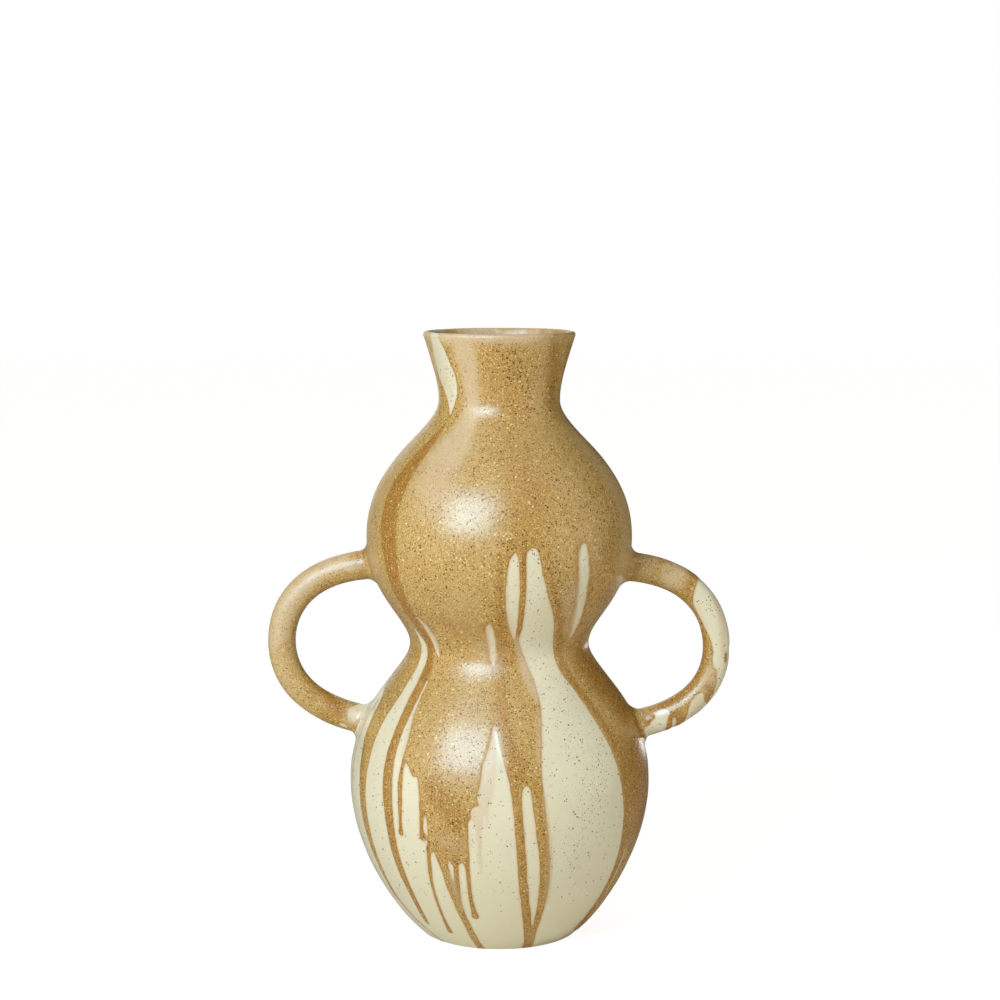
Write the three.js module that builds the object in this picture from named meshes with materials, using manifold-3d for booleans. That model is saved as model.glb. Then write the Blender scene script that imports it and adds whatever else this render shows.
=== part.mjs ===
// Stoneware vase with a double-gourd body: two thrown bulbs, a flared neck and two loop
// handles, luted together with slip. Millimetres, +Z up. The origin is the middle of the
// circle on which the foot stands, and both handles lie in the XZ plane.

import * as THREE from 'three';
import { mergeVertices } from 'three/addons/utils/BufferGeometryUtils.js';
import Module from 'manifold-3d';

// Outline of the body: radii at its stations and the rise from each station to the next
const footRadius = 47.5;
const footToBelly = 91.5;
const bellyRadius = 90;
const bellyToWaist = 83;
const waistRadius = 53.5;
const waistToShoulder = 64;
const shoulderRadius = 79;
const shoulderToThroat = 81;
const throatRadius = 36;
const throatToRim = 40.5;
const rimRadius = 42.9;

// Lean of the wall from the vertical at both ends of the outline, in degrees
const footLean = 60;
const rimLean = 18;

// How long the outline holds its direction at a station, as a share of the rise beside it
const footHold = 0.11;
const bellyHold = { below: 0.5, above: 0.58 };
const waistHold = { below: 0.2, above: 0.235 };
const shoulderHold = { below: 0.55, above: 0.575 };
const throatHold = { below: 0.23, above: 0.15 };
const rimHold = 0.74;

// Walls, floor and foot
const bodyWall = 5;
const rimWall = 4.2;
const floorThickness = 6;
const floorFillet = 9;
const footRecess = 3;
const footRingWidth = 7;
const footRingBevel = 1;

// Lapped joints between the thrown sections, and the slip layer left open in every joint
const slipGap = 0.3;
const waistLap = 6;
const neckLap = 6;
const neckSeamBelowThroat = 16;

// Handles: the path of the tube's centre, and the tube
const tubeDiameter = 17.2;
const handleReach = 130;
const rootFillet = 5;
const rootEntry = 6;
const upperRoot = { lean: 5, hold: 0.8, apexHold: 0.39 };
const lowerRoot = { lean: 12, hold: 0.49, apexHold: 0.62 };
const leftHandle = { upperRootHeight: 221.3, apexHeight: 175, lowerRootHeight: 127.3 };
const rightHandle = { upperRootHeight: 220, apexHeight: 171, lowerRootHeight: 124.3 };

// Fineness of the facets
const turnFacets = 48;
const outlineSteps = [8, 9, 8, 9, 6];
const rimSteps = 6;
const filletSteps = 4;
const tubeFacets = 16;
const tubeSteps = 22;
const flareSteps = 4;
const halvings = 40;
const leastSpacing = 1;

// Finish of each piece
const finishes = {
  lower_bulb: { color: 0xd9cfa6, roughness: 0.42, metalness: 0 },
  upper_bulb: { color: 0xb08a52, roughness: 0.4, metalness: 0 },
  neck: { color: 0xbb9c69, roughness: 0.4, metalness: 0 },
  left_handle: { color: 0xb29366, roughness: 0.42, metalness: 0 },
  right_handle: { color: 0xa98450, roughness: 0.42, metalness: 0 },
};

// Heights of the stations
const bellyHeight = footToBelly;
const waistHeight = bellyHeight + bellyToWaist;
const shoulderHeight = waistHeight + waistToShoulder;
const throatHeight = shoulderHeight + shoulderToThroat;
const rimHeight = throatHeight + throatToRim;
const waistSeam = waistHeight - waistLap / 2;
const neckSeam = throatHeight - neckSeamBelowThroat;
const floorTop = footRecess + floorThickness;

const wasm = await Module();
wasm.setup();

// Direction in the profile plane that leans by an angle from straight up
function leaning(degrees) {
  const angle = THREE.MathUtils.degToRad(degrees);
  return new THREE.Vector2(Math.sin(angle), Math.cos(angle));
}

// Smooth curve between two stations, with the direction and the hold at each end
function outlineCurve(start, startWay, startHold, end, endWay, endHold) {
  const rise = end.y - start.y;
  const first = start.clone().addScaledVector(startWay, startHold * rise);
  const second = end.clone().addScaledVector(endWay, -endHold * rise);
  return new THREE.CubicBezierCurve(start, first, second, end);
}

// Outside of the body from the foot to the place where the rounded rim begins
function makeOutline() {
  const upright = leaning(0);
  const rimWay = leaning(rimLean);
  const foot = new THREE.Vector2(footRadius, 0);
  const belly = new THREE.Vector2(bellyRadius, bellyHeight);
  const waist = new THREE.Vector2(waistRadius, waistHeight);
  const shoulder = new THREE.Vector2(shoulderRadius, shoulderHeight);
  const throat = new THREE.Vector2(throatRadius, throatHeight);
  const rimStart = rimCentre().add(new THREE.Vector2(rimWay.y, -rimWay.x).multiplyScalar(rimWall / 2));
  return [
    outlineCurve(foot, leaning(footLean), footHold, belly, upright, bellyHold.below),
    outlineCurve(belly, upright, bellyHold.above, waist, upright, waistHold.below),
    outlineCurve(waist, upright, waistHold.above, shoulder, upright, shoulderHold.below),
    outlineCurve(shoulder, upright, shoulderHold.above, throat, upright, throatHold.below),
    outlineCurve(throat, upright, throatHold.above, rimStart, rimWay, rimHold),
  ];
}

// Centre of the rim's rounding, in the profile plane
function rimCentre() {
  return new THREE.Vector2(rimRadius, rimHeight - rimWall / 2);
}

const outline = makeOutline();
const outlineTop = outline.at(-1).v3.y;

// Outline point and outward normal at a height, found by halving the curve's parameter
function outlineAt(height) {
  const curve = outline.find((one) => height <= one.v3.y) ?? outline.at(-1);
  let low = 0;
  let high = 1;
  for (let pass = 0; pass < halvings; pass += 1) {
    const middle = (low + high) / 2;
    if (curve.getPoint(middle).y < height) {
      low = middle;
    } else {
      high = middle;
    }
  }
  const tangent = curve.getTangent(high);
  return { point: curve.getPoint(high), normal: new THREE.Vector2(tangent.y, -tangent.x) };
}

// Point in the wall: the outline at a height, moved inward along its normal
function wallPoint(height, depth) {
  const { point, normal } = outlineAt(height);
  return point.addScaledVector(normal, -depth);
}

// Wall thickness at a height: even in the bulbs, thinning from the throat to the rim
function wallAt(height) {
  const share = THREE.MathUtils.clamp((height - throatHeight) / (outlineTop - throatHeight), 0, 1);
  return THREE.MathUtils.lerp(bodyWall, rimWall, share);
}

// Heights at which the outline is sampled between two heights, with both ends
function sampledHeights(from, to) {
  const inside = [];
  outline.forEach((curve, index) => {
    for (let step = 0; step < outlineSteps[index]; step += 1) {
      inside.push(curve.getPoint(step / outlineSteps[index]).y);
    }
  });
  const between = inside.filter((height) => height > from + leastSpacing && height < to - leastSpacing);
  return [from, ...between, to];
}

// Points along the wall at one depth, given as a function of the height
function wallLine(from, to, depthAt) {
  const low = Math.min(from, to);
  const high = Math.max(from, to);
  const points = sampledHeights(low, high).map((height) => wallPoint(height, depthAt(height)));
  return from < to ? points : points.reverse();
}

// Rim of a lower section, from the outside to the inside: a tongue on the inner half of the wall
function tongue(seam, lap) {
  const outside = seam - slipGap / 2;
  const top = seam + lap - slipGap / 2;
  const depthAt = (height) => (wallAt(height) + slipGap) / 2;
  return wallLine(outside, top, depthAt);
}

// Lower edge of an upper section, from the inside to the outside: a skirt over the tongue
function skirt(seam, lap) {
  const inside = seam + lap + slipGap / 2;
  const bottom = seam + slipGap / 2;
  const depthAt = (height) => (wallAt(height) - slipGap) / 2;
  return wallLine(inside, bottom, depthAt);
}

// Inside of the lower bulb near the floor: a curve that leaves the wall and lies down on the floor
function floorCorner(start, way) {
  const reach = (start.y - floorTop) / way.y;
  const corner = start.clone().addScaledVector(way, -reach);
  const landing = new THREE.Vector2(corner.x - reach, floorTop);
  return new THREE.QuadraticBezierCurve(start, corner, landing).getPoints(filletSteps);
}

// Outline height whose inner wall point lies at a given height
function outerHeightForInner(innerHeight) {
  let low = 0;
  let high = waistSeam;
  for (let pass = 0; pass < halvings; pass += 1) {
    const middle = (low + high) / 2;
    if (wallPoint(middle, wallAt(middle)).y < innerHeight) {
      low = middle;
    } else {
      high = middle;
    }
  }
  return high;
}

// Profile of the lower bulb with its floor, foot ring and the recess below the floor
function lowerBulbProfile() {
  const ringInside = footRadius - footRingWidth;
  const filletTop = outerHeightForInner(floorTop + floorFillet);
  const normal = outlineAt(filletTop).normal;
  const way = new THREE.Vector2(-normal.y, normal.x);
  return [
    new THREE.Vector2(0, footRecess),
    new THREE.Vector2(ringInside - footRingBevel, footRecess),
    new THREE.Vector2(ringInside, 0),
    ...wallLine(0, waistSeam - slipGap / 2, () => 0),
    ...tongue(waistSeam, waistLap),
    ...wallLine(waistSeam + waistLap - slipGap / 2, filletTop, wallAt),
    ...floorCorner(wallPoint(filletTop, wallAt(filletTop)), way).slice(1),
    new THREE.Vector2(0, floorTop),
  ];
}

// Profile of the upper bulb, closed on itself
function upperBulbProfile() {
  return closedProfile([
    ...wallLine(waistSeam + slipGap / 2, neckSeam - slipGap / 2, () => 0),
    ...tongue(neckSeam, neckLap),
    ...wallLine(neckSeam + neckLap - slipGap / 2, waistSeam + waistLap + slipGap / 2, wallAt),
    ...skirt(waistSeam, waistLap),
  ]);
}

// Profile of the neck with its rounded rim, closed on itself
function neckProfile() {
  return closedProfile([
    ...wallLine(neckSeam + slipGap / 2, outlineTop, () => 0),
    ...rimRounding(),
    ...wallLine(outlineTop, neckSeam + neckLap + slipGap / 2, wallAt),
    ...skirt(neckSeam, neckLap),
  ]);
}

// Half circle over the rim, between the outer and the inner wall
function rimRounding() {
  const centre = rimCentre();
  const lean = THREE.MathUtils.degToRad(rimLean);
  const points = [];
  for (let step = 1; step < rimSteps; step += 1) {
    const angle = (Math.PI * step) / rimSteps - lean;
    const way = new THREE.Vector2(Math.cos(angle), Math.sin(angle));
    points.push(centre.clone().addScaledVector(way, rimWall / 2));
  }
  points.push(new THREE.Vector2(centre.x, rimHeight));
  return points.sort((one, other) => other.x - one.x);
}

function closedProfile(points) {
  return [...points, points[0].clone()];
}

// Solid of revolution about the Z axis
function turned(profile) {
  return new THREE.LatheGeometry(profile, turnFacets).rotateX(Math.PI / 2);
}

// Centre line of a handle: straight out of the upper root, round the apex and into the lower root
function handlePath(side, places) {
  const upper = rootFrame(side, places.upperRootHeight, -upperRoot.lean);
  const lower = rootFrame(side, places.lowerRootHeight, lowerRoot.lean);
  const apex = new THREE.Vector3(side * handleReach, 0, places.apexHeight);
  const upperRun = handleReach - upper.radius;
  const lowerRun = handleReach - lower.radius;
  const upperDrop = places.upperRootHeight - places.apexHeight;
  const lowerDrop = places.apexHeight - places.lowerRootHeight;
  const path = new THREE.CurvePath();
  path.add(new THREE.LineCurve3(upper.inside, upper.point));
  path.add(new THREE.CubicBezierCurve3(
    upper.point,
    upper.point.clone().addScaledVector(upper.way, upperRoot.hold * upperRun),
    apex.clone().setZ(apex.z + upperRoot.apexHold * upperDrop),
    apex,
  ));
  path.add(new THREE.CubicBezierCurve3(
    apex,
    apex.clone().setZ(apex.z - lowerRoot.apexHold * lowerDrop),
    lower.point.clone().addScaledVector(lower.way, lowerRoot.hold * lowerRun),
    lower.point,
  ));
  path.add(new THREE.LineCurve3(lower.point, lower.inside));
  return path;
}

// Point where a handle's centre line leaves the body, its way out and its buried end
function rootFrame(side, height, lean) {
  const radius = outlineAt(height).point.x;
  const rise = THREE.MathUtils.degToRad(lean);
  const point = new THREE.Vector3(side * radius, 0, height);
  const way = new THREE.Vector3(side * Math.cos(rise), 0, Math.sin(rise));
  const inside = point.clone().addScaledVector(way, -rootEntry);
  return { radius, point, way, inside };
}

// Distance of a point from the outside of the body, square to the outline at its height
function clearanceAt(point) {
  const { point: edge, normal } = outlineAt(point.z);
  return (Math.hypot(point.x, point.y) - edge.x) * normal.x;
}

// Point beside a handle's centre line, at a distance and in a direction round the tube
function besidePath(path, place, distance, angle) {
  const share = place / path.getLength();
  const across = new THREE.Vector3(0, 1, 0);
  const outward = new THREE.Vector3().crossVectors(across, path.getTangentAt(share));
  const point = path.getPointAt(share);
  point.addScaledVector(outward, distance * Math.cos(angle));
  point.addScaledVector(across, distance * Math.sin(angle));
  return point;
}

// Ring of points round the centre line at one place
function plainRing(path, place, radius) {
  return tubeAngles().map((angle) => besidePath(path, place, radius, angle));
}

function tubeAngles() {
  return Array.from({ length: tubeFacets }, (_, facet) => (2 * Math.PI * facet) / tubeFacets);
}

// Ring of points that all lie at one clearance from the body, found by halving the place on the path
function flareRing(path, fromEnd, radius, clearance) {
  const length = path.getLength();
  const searched = rootEntry + 2 * (rootFillet + tubeDiameter);
  return tubeAngles().map((angle) => {
    let near = 0;
    let far = searched;
    for (let pass = 0; pass < halvings; pass += 1) {
      const middle = (near + far) / 2;
      const place = fromEnd ? length - middle : middle;
      if (clearanceAt(besidePath(path, place, radius, angle)) < clearance) {
        near = middle;
      } else {
        far = middle;
      }
    }
    return besidePath(path, fromEnd ? length - far : far, radius, angle);
  });
}

// Rings of one root from its buried end outward: the swelling is a quarter circle that lands on the body
function rootRings(path, fromEnd) {
  const length = path.getLength();
  const widest = tubeDiameter / 2 + rootFillet;
  const rings = [plainRing(path, fromEnd ? length : 0, widest)];
  for (let step = 0; step <= flareSteps; step += 1) {
    const angle = (Math.PI / 2) * (step / flareSteps);
    const radius = widest - rootFillet * Math.sin(angle);
    rings.push(flareRing(path, fromEnd, radius, rootFillet * (1 - Math.cos(angle))));
  }
  return rings;
}

// Plain rings between both roots, spaced evenly
function tubeRings(path) {
  const length = path.getLength();
  const start = rootEntry + 2 * rootFillet;
  const rings = [];
  for (let step = 0; step <= tubeSteps; step += 1) {
    rings.push(plainRing(path, start + ((length - 2 * start) * step) / tubeSteps, tubeDiameter / 2));
  }
  return rings;
}

// Round bar along a handle's path, closed at both ends, as rings of points joined by triangles
function handleBar(path) {
  const rings = [...rootRings(path, false), ...tubeRings(path), ...rootRings(path, true).reverse()];
  const points = [...rings.flat(), path.getPointAt(0), path.getPointAt(1)];
  const geometry = new THREE.BufferGeometry().setFromPoints(points);
  geometry.setIndex(barTriangles(rings.length, points.length - 2));
  return geometry;
}

// Triangles between neighbouring rings, and a fan over each end
function barTriangles(rings, firstCap) {
  const triangles = [];
  for (let facet = 0; facet < tubeFacets; facet += 1) {
    const next = (facet + 1) % tubeFacets;
    for (let ring = 0; ring + 1 < rings; ring += 1) {
      const here = ring * tubeFacets;
      const there = here + tubeFacets;
      triangles.push(here + facet, here + next, there + facet);
      triangles.push(there + facet, here + next, there + next);
    }
    const last = (rings - 1) * tubeFacets;
    triangles.push(firstCap, next, facet);
    triangles.push(firstCap + 1, last + facet, last + next);
  }
  return triangles;
}

// Closed mesh as a solid for joining and cutting, without the flat triangles on the axis
function toSolid(geometry) {
  const bare = geometry.clone();
  bare.deleteAttribute('normal');
  bare.deleteAttribute('uv');
  const merged = mergeVertices(bare);
  const index = merged.getIndex().array;
  const triangles = [];
  for (let first = 0; first < index.length; first += 3) {
    const [a, b, c] = index.slice(first, first + 3);
    if (a !== b && b !== c && c !== a) {
      triangles.push(a, b, c);
    }
  }
  const vertProperties = new Float32Array(merged.getAttribute('position').array);
  const triVerts = new Uint32Array(triangles);
  return new wasm.Manifold(new wasm.Mesh({ numProp: 3, vertProperties, triVerts }));
}

function toGeometry(solid) {
  const mesh = solid.getMesh();
  const geometry = new THREE.BufferGeometry();
  geometry.setAttribute('position', new THREE.BufferAttribute(mesh.vertProperties, 3));
  geometry.setIndex(new THREE.BufferAttribute(mesh.triVerts, 1));
  return geometry;
}

// Filled body with a layer of slip around it, which trims the handles to a saddle
function bodyWithSlip() {
  const skin = wallLine(0, outlineTop, () => -slipGap);
  const bottom = new THREE.Vector2(0, skin[0].y);
  const top = new THREE.Vector2(0, skin.at(-1).y);
  return toSolid(turned([bottom, ...skin, top]));
}

function handle(side, places) {
  const bar = toSolid(handleBar(handlePath(side, places)));
  return toGeometry(bar.subtract(bodyWithSlip()));
}

function piece(name, geometry) {
  const mesh = new THREE.Mesh(geometry, new THREE.MeshStandardMaterial(finishes[name]));
  mesh.name = name;
  return mesh;
}

const vase = new THREE.Group();
vase.name = 'stoneware_vase';
vase.add(piece('lower_bulb', turned(lowerBulbProfile())));
vase.add(piece('upper_bulb', turned(upperBulbProfile())));
vase.add(piece('neck', turned(neckProfile())));
vase.add(piece('left_handle', handle(-1, leftHandle)));
vase.add(piece('right_handle', handle(1, rightHandle)));

export default vase;
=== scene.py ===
"""Stoneware vase with a double-gourd body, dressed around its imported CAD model.

Lengths are metres and +Z is up, as in the CAD. Marks in the glaze are given in degrees round the
body and in millimetres: 0 degrees faces the camera (-Y) and 90 degrees is the right side (+X).
"""

import math

import bpy
import numpy as np
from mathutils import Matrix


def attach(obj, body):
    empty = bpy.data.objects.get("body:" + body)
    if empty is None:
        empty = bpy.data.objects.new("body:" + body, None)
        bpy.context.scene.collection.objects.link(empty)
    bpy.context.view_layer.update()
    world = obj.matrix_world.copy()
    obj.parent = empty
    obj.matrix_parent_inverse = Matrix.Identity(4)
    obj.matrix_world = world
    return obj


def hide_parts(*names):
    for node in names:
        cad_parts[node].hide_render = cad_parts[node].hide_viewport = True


bl_info = {
    "name": "Stoneware Vase",
    "version": (1, 0, 0),
    "blender": (4, 5, 0),
    "location": "3D View > Sidebar > Vase",
    "description": "Throws, joins and glazes a double-gourd stoneware vase",
    "category": "Add Mesh",
}

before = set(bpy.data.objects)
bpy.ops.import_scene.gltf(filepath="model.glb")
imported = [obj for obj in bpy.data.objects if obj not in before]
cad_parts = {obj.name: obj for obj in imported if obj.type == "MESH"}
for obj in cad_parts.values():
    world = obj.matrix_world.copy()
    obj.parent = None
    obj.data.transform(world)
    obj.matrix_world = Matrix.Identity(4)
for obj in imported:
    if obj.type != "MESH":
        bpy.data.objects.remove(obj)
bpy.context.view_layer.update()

MM = 0.001

# Fineness of the meshes
COLUMNS = 480
BULB_ROW = 1.26 * MM
NECK_ROW = 1.0 * MM
INNER_ROW = 8.0 * MM
MOUTH_ROW = 2.0 * MM
RIM_ROWS = 16
FLAT_ROWS = 7
RING_ROWS = 5
CORNER_ROWS = 7
CURVE_POINTS = 240
HANDLE_COLUMNS = 72
HANDLE_ROW = 0.9 * MM
FLARE_ROWS = 8
BLEND_ROWS = 5
PATH_POINTS = 400
PATH_WAYS = 1600
HALVINGS = 30

# How the outline holds its direction at each station, as shares of the rise beside it
FOOT_LEAN, FOOT_HOLD = 60.0, 0.11
BELLY_HOLD = (0.5, 0.58)
WAIST_HOLD = (0.2, 0.235)
SHOULDER_HOLD = (0.55, 0.575)
THROAT_HOLD = (0.23, 0.15)
RIM_LEAN, RIM_HOLD = 18.0, 0.74

# Small forms of the body: the innermost ring round a pole, the bevel inside the foot ring, where
# the wall turns into the floor, and how far up the glaze reaches its full relief
POLE_RING = 4.0 * MM
RING_BEVEL = 1.0 * MM
WALL_FOOT = 23.5 * MM
RELIEF_START = 1.2 * MM

# Handles: how far they lean out from straight up at both roots, how they hold that and the
# upright at the apex, and how far the middle line runs on into the body
UPPER_LEAN, UPPER_HOLD, APEX_HOLD_ABOVE = 95.0, 0.8, 0.39
LOWER_LEAN, LOWER_HOLD, APEX_HOLD_BELOW = 78.0, 0.49, 0.62
ENTRY = 20 * MM
ROOT_SEARCH = (-19 * MM, 45 * MM)
ROOT_ROOM = 2.4
APEX_SPREAD = 0.16
BURIED = 2.2 * MM
ON_GLAZE = 0.04 * MM
POLE_DEPTH = 4.0 * MM
SHARED_GLAZE = (0.4 * MM, 2.4 * MM)

# Glaze marks on the body. Areas are outlines of (degrees, height in mm); lines are
# (degrees, height in mm, width in mm) along their middle. Above the waist edge the ground is
# brown, below it cream.
WAIST_EDGE = 160.0
BROWN_AREAS = [
    # band on the left, from the waist to its thin lower end
    [(-112, 172), (-106, 162), (-98, 155), (-90, 152), (-80, 147), (-73.4, 142), (-72.8, 134),
     (-71, 125), (-69, 116), (-67.2, 107), (-65.9, 97), (-65.3, 85), (-64.8, 74), (-63.6, 61),
     (-62.5, 48), (-61.5, 38), (-61, 28), (-59.2, 26), (-58.4, 34), (-59.2, 44), (-59.4, 55),
     (-59.5, 65), (-59.8, 76), (-60.2, 88), (-60.4, 99), (-60.2, 110), (-60.3, 122),
     (-60.1, 134), (-58.6, 145), (-57.8, 152), (-58.8, 163), (-58.8, 172)],
    # the wide speckled pour on the left of the front
    [(-42.6, 168), (-43, 154), (-42.4, 146), (-41.6, 140), (-40.8, 135), (-40, 130),
     (-40.2, 123), (-40.4, 118), (-38.6, 117.2), (-37.4, 116), (-36.2, 114), (-35, 111),
     (-34.2, 110), (-32.6, 110.2), (-31.9, 109.6), (-31.3, 105), (-30.6, 100), (-30.3, 94),
     (-30.1, 90), (-28.4, 89.4), (-27.6, 89), (-27.3, 86), (-27.3, 80), (-27.8, 72), (-28.2, 66),
     (-27.2, 64.6), (-26.2, 67.3), (-25.5, 67.8), (-24.8, 65), (-23.8, 61), (-21.5, 59),
     (-20.1, 61.6), (-19.3, 62.6), (-18.7, 61), (-17, 59.5), (-15.9, 60.6), (-15, 62.2),
     (-13.9, 62.3), (-13.2, 60.4), (-11.6, 61), (-11.3, 67), (-11.3, 82), (-11.4, 87),
     (-11, 89), (-9.9, 89.4), (-10.3, 93), (-10, 95.2), (-8.4, 96.8), (-6.9, 97.2), (-7.9, 100),
     (-7.8, 103), (-7.1, 107), (-6.7, 112), (-6.4, 117), (-5.9, 121), (-4.9, 125), (-4, 129),
     (-3.5, 133), (-3, 137), (-2.4, 140), (-1.5, 150), (0, 168)],
    # the middle pour, which divides into two legs
    [(-3, 168), (-2.5, 141), (-1.7, 138.5), (-0.8, 135), (0, 130), (0.8, 126), (1.6, 121),
     (2.4, 117), (3.1, 113), (3.8, 108), (4.5, 101), (5.2, 90), (6.2, 73), (7.2, 56), (9.1, 38),
     (11.5, 23), (14.5, 10), (16.6, 1), (17, -8), (26, -8), (26, 40), (26, 100), (24, 150),
     (20, 172)],
    # the broad band on the right, round to the side
    [(20, 172), (24, 150), (30, 128), (33, 100), (35, 60), (40, 30), (50, 5), (56, -8),
     (92, -8), (92.6, 10), (95, 35), (98, 62), (101.6, 88), (105, 108), (108, 126), (112, 142),
     (117, 157), (121, 172)],
    # pours on the back
    [(126, 172), (130, 158), (133, 142), (135.2, 125), (136.4, 108), (136.4, 92), (137.4, 80),
     (139.4, 73), (141.4, 80), (143.5, 92), (145.5, 105), (147.6, 120), (149.6, 138), (151, 155),
     (154, 172)],
    [(160, 172), (163.6, 152), (163.1, 135), (161.6, 120), (161.8, 108), (164, 99), (166, 96),
     (167.5, 92), (170, 88), (173.5, 84), (176, 92), (178, 96), (181, 95), (184, 90),
     (187.5, 82), (191, 86), (194, 97), (197, 104), (199.5, 112), (200.6, 126), (201.2, 142),
     (200.4, 158), (199, 172)],
    [(213, 172), (216, 150), (217.5, 130), (218, 110), (219, 92), (220.5, 76), (221.5, 58),
     (223, 40), (224.6, 22), (226, 4), (226.5, -8), (231.5, -8), (231, 4), (229.6, 20),
     (229, 40), (229, 60), (230, 78), (231.5, 95), (233, 112), (235.4, 130), (239, 146),
     (243, 160), (248, 172)],
]
CREAM_AREAS = [
    # the tall tongue right of the middle, widening to the foot
    [(14.4, 242), (12.6, 241.4), (11.1, 239), (11.3, 229), (11.7, 217), (12, 204), (12.2, 194),
     (11.5, 188), (11.3, 185), (12.6, 182), (14.2, 178), (16, 174), (17.7, 170), (19, 166),
     (20, 161), (20.4, 156), (20.3, 151), (19.8, 146), (19, 141), (18.1, 136), (17.4, 131),
     (16.7, 124), (16.2, 117), (16.2, 109), (16.6, 101), (17.5, 88), (18.6, 76), (19.8, 63),
     (20.8, 50), (21.1, 38), (20.9, 24), (20.9, 11), (23.4, 1), (24, -8), (84, -8), (80, 0),
     (66, 2.5), (54, 5.5), (52.5, 11), (54.6, 18), (55.6, 28), (56.4, 40), (55.9, 53),
     (54.9, 66), (54.4, 77), (53.3, 90),
     (52.3, 101), (51, 113), (49.2, 125), (47.1, 134), (45.9, 141), (44.2, 149), (42, 157),
     (39.2, 164), (36.9, 173), (34.9, 180), (32.9, 186), (29.2, 196), (25.7, 204), (22, 213),
     (19.3, 222), (17.6, 231), (16.4, 238), (15.6, 241.3)],
    # the slot between the legs
    [(10.4, 108.6), (9.4, 108), (8.5, 105.6), (8.1, 101), (8.5, 90), (9.1, 81), (10.3, 64),
     (11.7, 47), (13.9, 33), (16.5, 20), (17.5, 18), (17.4, 28), (16.8, 42), (16.1, 55),
     (15.2, 66), (13.9, 77), (12.5, 92), (11.8, 101), (11.4, 107)],
    # the narrow tongue left of the tall one
    [(6.9, 240), (5.4, 238), (4.2, 234), (3.2, 226), (2.8, 217), (3.1, 206), (4.4, 197),
     (6.6, 190), (8.6, 185), (9.3, 190), (9, 201), (8.7, 217), (8.4, 228), (7.9, 236)],
    # streak down the neck, over the rim
    [(-52, 368), (-62, 366), (-62.7, 358), (-65, 353), (-67.4, 348), (-69, 343), (-70, 337),
     (-68.6, 333), (-64.6, 329), (-61, 325), (-57.6, 321), (-54, 316), (-50.4, 312.6),
     (-48.6, 312.6), (-47.9, 316), (-46.2, 319.4), (-43.4, 323), (-41.9, 327), (-41.4, 332),
     (-42.5, 337), (-44.6, 341), (-46.4, 345), (-48.3, 350), (-50.4, 354), (-51.8, 358),
     (-52, 362)],
    # the stripe left of the caramel streak at the waist
    [(-58.6, 189.5), (-59.4, 185), (-59.2, 181), (-59, 174), (-58.9, 166), (-58.8, 158),
     (-57.7, 149), (-50.3, 148), (-50.9, 157), (-51.3, 165), (-51.6, 172), (-51.9, 177),
     (-53.8, 181.6), (-56.4, 185)],
    # tongues on the sides and the back
    [(121, 236), (119.2, 232), (118.5, 222), (118.6, 208), (119.4, 195), (119.6, 184),
     (118, 172), (114.4, 157), (110, 142), (106.4, 126), (103.4, 108), (100, 88), (97, 62),
     (94, 35), (91.8, 10), (91.4, -8), (138, -8), (137, 50), (135.6, 92), (135.2, 108),
     (134.6, 125), (133, 142), (130.6, 157), (129.2, 170), (128, 182), (126.6, 196), (125, 210),
     (123.8, 224), (122.8, 233)],
    [(158, 248), (156.4, 245), (155.4, 236), (155, 222), (155.2, 205), (154.2, 190),
     (152.5, 175), (150.5, 158), (149, 140), (147.5, 120), (154, 114), (161.5, 120), (163, 138),
     (163.8, 158), (163, 178), (162.2, 195), (161.8, 210), (161.2, 226), (160, 241)],
    [(204, 216), (202.5, 213), (201.6, 204), (201.5, 192), (201.8, 180), (201, 165),
     (201.2, 150), (200.8, 130), (208, 118), (216.6, 130), (216, 150), (214, 166), (211.5, 178),
     (209, 190), (207, 203), (205.6, 213)],
    [(247, 226), (245.4, 222), (244.6, 212), (244.4, 200), (243.6, 186), (241.6, 172),
     (239, 158), (236.3, 142), (235, 125), (246, 118), (251.6, 130), (252, 148), (251.4, 165),
     (250.6, 180), (250, 196), (249.6, 210), (248.8, 221)],
    [(152, 352), (148.4, 350), (146.6, 345), (147, 338), (149.4, 331), (153, 323), (157, 316),
     (158.8, 320), (158.4, 329), (157.2, 338), (157.6, 345), (155.4, 350)],
]
# Cream tongues whose edges fade into the brown
FADED_AREAS = [
    [(37.9, 243), (36.3, 241.4), (35.3, 236), (35.5, 228), (36.9, 219), (38.9, 207), (42.4, 196),
     (45.8, 187), (48.2, 183), (48.5, 190), (44.9, 203), (42.3, 214), (41.4, 223), (40.2, 233),
     (39.1, 240.6)],
    [(-5.4, 197), (-6.7, 193), (-6.5, 187), (-6.1, 181), (-5.4, 175), (-4.3, 171), (-3.2, 172),
     (-2.6, 177), (-2.4, 184), (-3.4, 192)],
    [(213.5, 232), (212, 229), (211.2, 220), (211.6, 208), (212.8, 198), (214.6, 193),
     (216.2, 200), (216.4, 212), (215.6, 224)],
]
CREAM_LINES = [
    [(-47.4, 196.5, 0.8), (-44.9, 192, 3.2), (-43.9, 187, 4.2), (-43.4, 181, 3.6),
     (-42.4, 176, 2.4), (-40.8, 173, 0.8)],
    [(61.9, 64, 0.8), (61.8, 56, 1.4), (61.4, 46, 1.7), (61.2, 36, 1.7), (61.4, 26, 1.4),
     (62, 18, 0.8)],
    [(-19.6, 63, 1.2), (-19.7, 57, 1.6), (-19.2, 51, 1.2), (-19.1, 46, 0.5)],
]
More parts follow.
